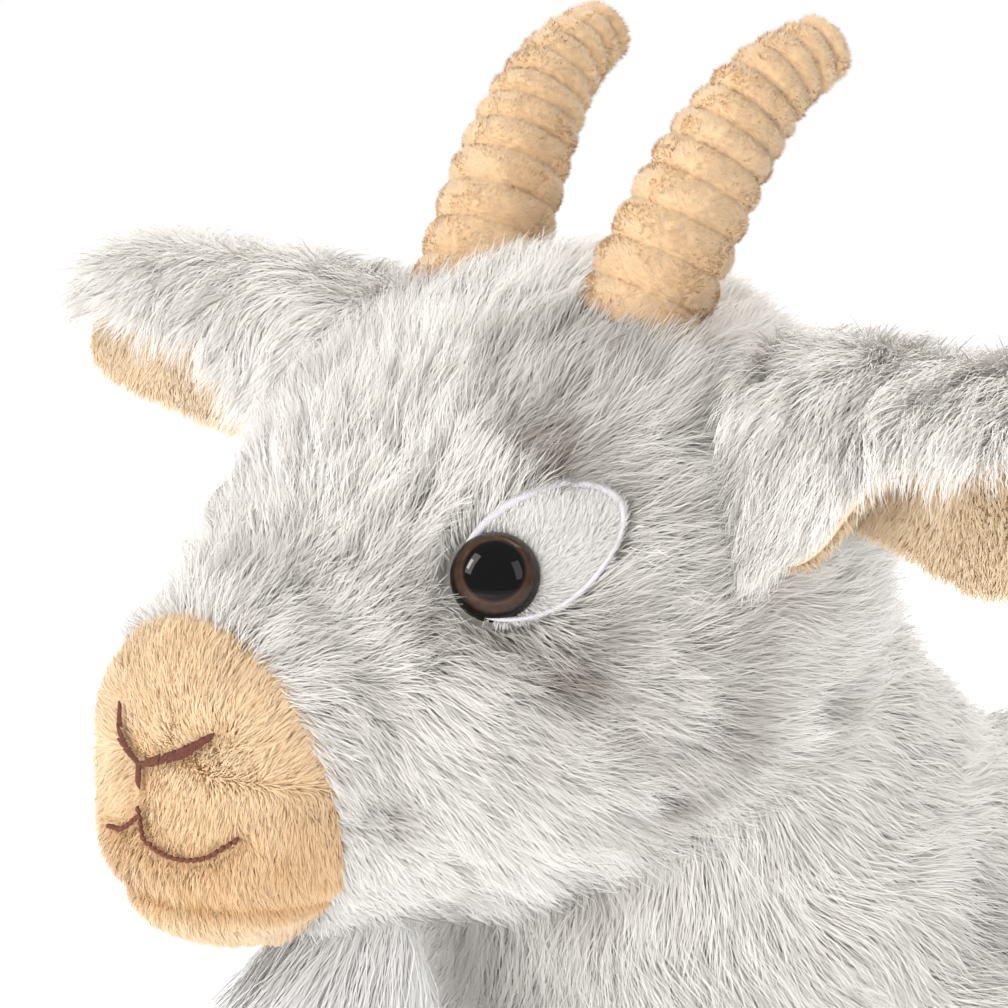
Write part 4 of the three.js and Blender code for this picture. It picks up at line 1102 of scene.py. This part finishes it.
def fused(name, ring_sets, inset, voxel, rounds):
    """One smooth surface round several lofts, moved in by inset, as a Skin."""
    points, faces, start = [], [], 0
    for rings in ring_sets:
        rows, columns = rings.shape[:2]
        flat = rings.reshape(-1, 3)
        points += [flat, rings[0].mean(axis=0)[None], rings[-1].mean(axis=0)[None]]
        quads = grid_faces(rows, columns) + start
        faces += [tuple(f) for f in quads]
        first, last = start + rows * columns, start + rows * columns + 1
        end = start + (rows - 1) * columns
        ring = np.arange(columns)
        pairs = list(zip(ring, np.roll(ring, -1)))
        faces += [(first, start + b, start + a) for a, b in pairs]
        faces += [(last, end + a, end + b) for a, b in pairs]
        start += rows * columns + 2
    mesh = bpy.data.meshes.new(name)
    mesh.from_pydata((np.concatenate(points) * MM).tolist(), [], [tuple(int(v) for v in f) for f in faces])
    work = bmesh.new()
    work.from_mesh(mesh)
    bmesh.ops.recalc_face_normals(work, faces=work.faces)
    work.to_mesh(mesh)
    work.free()
    obj = bpy.data.objects.new(name, mesh)
    collection.objects.link(obj)
    result = remeshed(obj, voxel, rounds).to_mesh()
    co = np.empty(len(result.vertices) * 3, np.float32)
    result.vertices.foreach_get("co", co)
    index = np.empty(len(result.loops), np.int32)
    result.loops.foreach_get("vertex_index", index)
    co, index = co.reshape(-1, 3).astype(float) / MM, index.reshape(-1, 4)
    bpy.data.objects.remove(obj)
    bpy.data.meshes.remove(mesh)
    middle = co.mean(axis=0)
    skin = Skin(co, index, lambda p: p - middle)
    return moved(skin, -inset)


body_base = fused("body_work", [trunk_rings, neck_rings], 3.6, 3.0, 10)
belly_level = TRUNK["z"] - TRUNK["below"] * 0.55


def body_open(p):
    return ~(head_level(p, -7.0) < 1)


def on_belly(p):
    return (np.abs(p[..., 0]) < BELLY / 2) & (p[..., 2] < belly_level)


def on_shoulders(p):
    """Where the fur is finer and denser than on the flanks."""
    return (p[..., 2] > 150) & (p[..., 1] < 40)


def body_comb(p):
    chest = smooth(-20, -70, p[:, 1:2]) * smooth(130, 150, p[:, 2:3])
    back = smooth(165, 185, p[:, 2:3])
    side = np.sign(p[:, :1]) * X
    return Y * (0.8 - 0.7 * chest) - Z * (0.55 + 0.6 * chest - 0.45 * back) + 0.15 * side * chest


def body_tone(p):
    tone = 0.6 * blotch(p, 81, size=19.0, cover=0.22)
    chest = smooth(20, 6, np.abs(p[:, 0])) * smooth(-50, -75, p[:, 1])
    return np.clip(tone * (1 - 0.8 * chest), 0, 1)


def body_length(p):
    return 10.5 + 2.0 * noise(p, 20.0, 82)


body_panels = {
    "body_side_panel_left": lambda p: body_open(p) & ~on_belly(p) & (p[..., 0] > 0),
    "body_side_panel_right": lambda p: body_open(p) & ~on_belly(p) & (p[..., 0] <= 0),
    "belly_gusset": lambda p: body_open(p) & on_belly(p),
}
for k, (name, keep) in enumerate(body_panels.items()):
    cloth_piece(name, body_base, keep, FUR_BACKING, "trunk", (name,))
    for label, is_fine, density, width, segments in (("fine", True, 7.5, 0.18, 3), ("fur", False, 3.2, 0.34, 2)):
        p, n = body_base.draw(density, np.random.default_rng(600 + 10 * k),
                              lambda p: keep(p) & (on_shoulders(p) == is_fine))
        if len(p):
            fibres(f"{name}_{label}", p, n, body_comb(p), body_length(p), width, FUR, body_tone(p),
                   610 + 10 * k + len(label), "trunk", segments=segments, sag=0.1, under=0.3)


def leg_rings(y, hind):
    rings = []
    for z in np.linspace(HOOF_H - 1.0, LEG["top"] + 8, 40):
        k = np.clip((z - HOOF_H) / (LEG["top"] - HOOF_H), 0, 1)
        radius = lerp(LEG["ankle"], LEG["thigh"], k ** 1.35)
        over = max(0.0, (z - LEG["top"]) / 8)
        radius *= 1 - 0.4 * over
        bend = LEG["lean"] * math.sin(math.pi * k) if hind else 0.0
        centre = np.array([LEG["spread"] - 8 * over, y + bend, z])
        rings.append(level_ring(centre, radius))
    return np.array(rings)


def clear_of_trunk(p):
    return ~trunk_inside(p, -3.0)


hoof_profile = [
    (0.90, SOLE + 0.2), (0.98, SOLE + 1.6), (1.0, 8.0), (0.99, 15.0), (0.96, 21.0), (0.90, HOOF_H - 0.5),
    (0.75, HOOF_H + 0.5)]
sole_profile = [(0.03, 0.0), (0.6, 0.0), (0.95, 0.05), (1.0, 0.6), (1.0, SOLE - 0.5), (0.95, SOLE), (0.03, SOLE)]
for legs_name, y, hind in (("front_leg", LEG["front"], False), ("hind_leg", LEG["hind"], True)):
    for side, flip in SIDES:
        rings = leg_rings(y, hind) * flip
        axis = rings.mean(axis=1)
        skin = moved(loft_skin(rings, lambda p: p - np.repeat(axis, rings.shape[1], axis=0)), -3.4)
        name = f"{legs_name}_cover_{side}"
        cloth_piece(name, skin, clear_of_trunk, FUR_BACKING, "trunk", (name,))
        p, n = skin.draw(3.4, np.random.default_rng(700), clear_of_trunk)
        down = smooth(HOOF_H + 4, HOOF_H + 40, p[:, 2])
        fibres(f"{legs_name}_fur_{side}", p, n, -Z + 0.2 * Y + 0 * p, 6.5 + 3.5 * down, 0.32, FUR,
               0.6 * blotch(p, 91, 15.0, 0.18), 710, "trunk", sag=0.05, under=0.3)

        centre = np.array([LEG["spread"], y, 0]) * flip
        hoof_rings = resample([level_ring(centre + Z * z, HOOF_R * share - 1.2) for share, z in hoof_profile], 26)
        cleft = hoof_rings[..., 1] < y
        groove = np.exp(-((hoof_rings[..., 0] - centre[0]) / 2.2) ** 2) * cleft
        hoof_rings[..., 1] += 2.0 * groove
        skin = loft_skin(hoof_rings, lambda p: p - (centre + Z * 12))
        name = f"{legs_name}_hoof_{side}"
        cloth_piece(name, skin, None, PLUSH_BACKING, "trunk", (name,))
        p, n = skin.draw(5.0, np.random.default_rng(720))
        fibres(f"{legs_name}_hoof_nap_{side}", p, n, -Z + 0 * p, 2.6, 0.32, PILE, 0.35 + 0.3 * noise(p, 6.0, 92), 730,
               "trunk", rise=(62.0, 25.0), clump=(1.8, 0.2))
        sole_rings = np.array([level_ring(centre + Z * z, HOOF_R * 0.92 * share) for share, z in sole_profile])
        skin = loft_skin(sole_rings, lambda p: p - (centre + Z * SOLE / 2))
        name = f"{legs_name}_sole_{side}"
        around = np.arange(LEG_COLUMNS)[None]
        obj = make_mesh(name, skin.points, [skin.faces, around, around + (len(sole_profile) - 1) * LEG_COLUMNS], SUEDE)
        place(obj, "trunk", (name,))

# ---------- tail ----------
tail_root = np.array([0, TRUNK["y"] + TRUNK["half"] * 0.965, TRUNK["z"] + TAIL["lift"]])
tail_along = np.array([0, math.cos(TAIL["droop"]), -math.sin(TAIL["droop"])])
tail_up = np.array([0, math.sin(TAIL["droop"]), math.cos(TAIL["droop"])])
rings = []
for k in np.linspace(-0.2, 1, 36):
    size = lerp(0.72, 1, max(k, 0) / 0.25) if k < 0.25 else math.sqrt(max(0.002, 1 - ((k - 0.25) / 0.76) ** 2.4))
    centre = tail_root + tail_along * TAIL["length"] * k + tail_up * 3 * math.sin(math.pi * max(k, 0))
    wide, thick = TAIL["width"] * size, TAIL["thick"] * size
    rings.append(ellipse_rings([centre], [X], [tail_up], [wide], [thick], [thick], 40)[0])
rings = np.array(rings)
tail_skin = moved(loft_skin(rings, lambda p: p - np.repeat(rings.mean(axis=1), 40, axis=0)), -2.2)


def tail_height(p):
    share = np.clip(((p - tail_root) @ tail_along) / TAIL["length"], 0, 1)
    return ((p - tail_root) @ tail_up) - 3 * np.sin(np.pi * share)


for name, is_upper in (("tail_upper", True), ("tail_underside", False)):
    def keep(p):
        return ((tail_height(p) >= 0) == is_upper) & ~trunk_inside(p, -1.0)

    cloth_piece(name, tail_skin, keep, FUR_BACKING, "tail", (name,))
    p, n = tail_skin.draw(6.0, np.random.default_rng(800), keep)
    fibres(name + "_fur", p, n, tail_along + 0 * p, 9.0, 0.3, FUR, 0.5 * blotch(p, 95, 9.0, 0.2), 810, "tail")

# ---------- fillings and label -------------------
for name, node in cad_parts.items():
    if not name.endswith("_filling") and "_filling_" not in name:
        continue
    work = node.copy()
    work.data = node.data.copy()
    collection.objects.link(work)
    work.parent = None
    work.matrix_world = Matrix.Identity(4)
    mesh = bpy.data.meshes.new_from_object(remeshed(work, 1.5 if "horn" in name else 3.0, 4))
    mesh.name = name
    bpy.data.objects.remove(work)
    mesh.materials.clear()
    mesh.materials.append(STUFFING)
    mesh.polygons.foreach_set("use_smooth", np.ones(len(mesh.polygons), bool))
    obj = bpy.data.objects.new(name + "_fibre", mesh)
    collection.objects.link(obj)
    body = "neck" if name == "neck_filling" else "head" if name.startswith(("head", "horn")) else "trunk"
    place(obj, body, (name,))

low, high = (np.array(corner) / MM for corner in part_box("care_label"))
ROWS, COLUMNS, HALF_THICK = 14, 10, 0.28
label_points = []
for offset in (HALF_THICK, -HALF_THICK):
    for r in np.linspace(0, 1, ROWS):
        for c in np.linspace(0, 1, COLUMNS):
            fold = 0.5 * math.sin(2.2 * r + 1.5 * c)
            middle = (low[0] + high[0]) / 2
            label_points.append([middle + offset + fold, lerp(low[1], high[1], c), lerp(high[2], low[2], r)])
front = grid_faces(ROWS, COLUMNS, closed=False)
back_start, last_row = ROWS * COLUMNS, (ROWS - 1) * COLUMNS
rim = [k for k in range(COLUMNS)] + [COLUMNS * k + COLUMNS - 1 for k in range(1, ROWS)]
rim += [last_row + k for k in range(COLUMNS - 2, -1, -1)] + [COLUMNS * k for k in range(ROWS - 2, 0, -1)]
walls = np.array([(a, b, b + back_start, a + back_start) for a, b in zip(rim, rim[1:] + rim[:1])])
label_faces = np.concatenate([front[:, ::-1], front + back_start, walls])
obj = make_mesh("care_label", label_points, label_faces, RIBBON)
place(obj, "trunk", ("care_label",))

# ---------- floor, lights and camera ----------
floor_material, floor_tree, floor_shader = new_material("studio_floor")
set_inputs(floor_tree, floor_shader, {
    "Base Color": (0.92, 0.92, 0.93, 1), "Roughness": 0.9, "Specular IOR Level": 0.1,
    "Emission Color": (0.97, 0.98, 1.0, 1), "Emission Strength": 0.46,
})
bpy.ops.mesh.primitive_plane_add(size=16, location=(0, 0, -0.0008))
floor = bpy.context.object
floor.name = "studio_floor"
floor.data.materials.append(floor_material)

EYE_LEFT_MM, EYE_BELOW_MM = 1.22, 9.66  # the left eye, from the middle of the picture
AZIMUTH, ELEVATION, DISTANCE, FOCAL = math.radians(52), math.radians(9.5), 600.0, 157.56
level = math.cos(ELEVATION)
forward = np.array([-math.sin(AZIMUTH) * level, math.cos(AZIMUTH) * level, -math.sin(ELEVATION)])
right = np.array([math.cos(AZIMUTH), math.sin(AZIMUTH), 0.0])
up = np.cross(right, forward)
low, high = (np.array(corner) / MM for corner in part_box("eye_dome_left"))
target = (low + high) / 2 + right * EYE_LEFT_MM + up * EYE_BELOW_MM
camera = bpy.data.objects.new("camera", bpy.data.cameras.new("camera"))
collection.objects.link(camera)
camera.data.lens, camera.data.sensor_width = FOCAL, 36.0
camera.data.clip_start, camera.data.clip_end = 0.05, 50
camera.matrix_world = Matrix(np.vstack([
    np.column_stack([right, up, -forward, (target - forward * DISTANCE) * MM]), [0, 0, 0, 1]]).tolist())
bpy.context.scene.camera = camera


def softbox(name, azimuth, elevation, distance, size, power, mirrored=True):
    """A rectangular area light aimed at the head from that direction, in degrees and metres."""
    light = bpy.data.lights.new(name, "AREA")
    light.shape, light.size, light.size_y = "RECTANGLE", size[0], size[1]
    light.energy, light.color = power, (1.0, 0.985, 0.96)
    obj = bpy.data.objects.new(name, light)
    collection.objects.link(obj)
    obj.visible_glossy = mirrored
    a, e = math.radians(azimuth), math.radians(elevation)
    back = Vector((math.sin(a) * math.cos(e), -math.cos(a) * math.cos(e), math.sin(e)))
    obj.location = Vector((0, -0.05, 0.2)) + back * distance
    obj.rotation_mode = "QUATERNION"
    obj.rotation_quaternion = back.to_track_quat("Z", "Y")


softbox("key_light", -8, 40, 1.4, (0.4, 0.85), 5.4)
softbox("window_light", -12, 38, 1.5, (0.18, 0.42), 4.4)
softbox("side_light", 98, 32, 1.7, (0.5, 0.95), 3.3)
softbox("back_light", 200, 50, 2.0, (1.4, 1.2), 20.0)
softbox("low_fill", 25, 4, 1.3, (1.0, 0.5), 5.2, mirrored=False)

world = bpy.data.worlds.new("studio_world")
world.use_nodes = True
world.node_tree.nodes["Background"].inputs["Color"].default_value = (1.0, 0.99, 0.98, 1)
world.node_tree.nodes["Background"].inputs["Strength"].default_value = 0.6
bpy.context.scene.world = world
bpy.context.scene.view_settings.view_transform = "Standard"
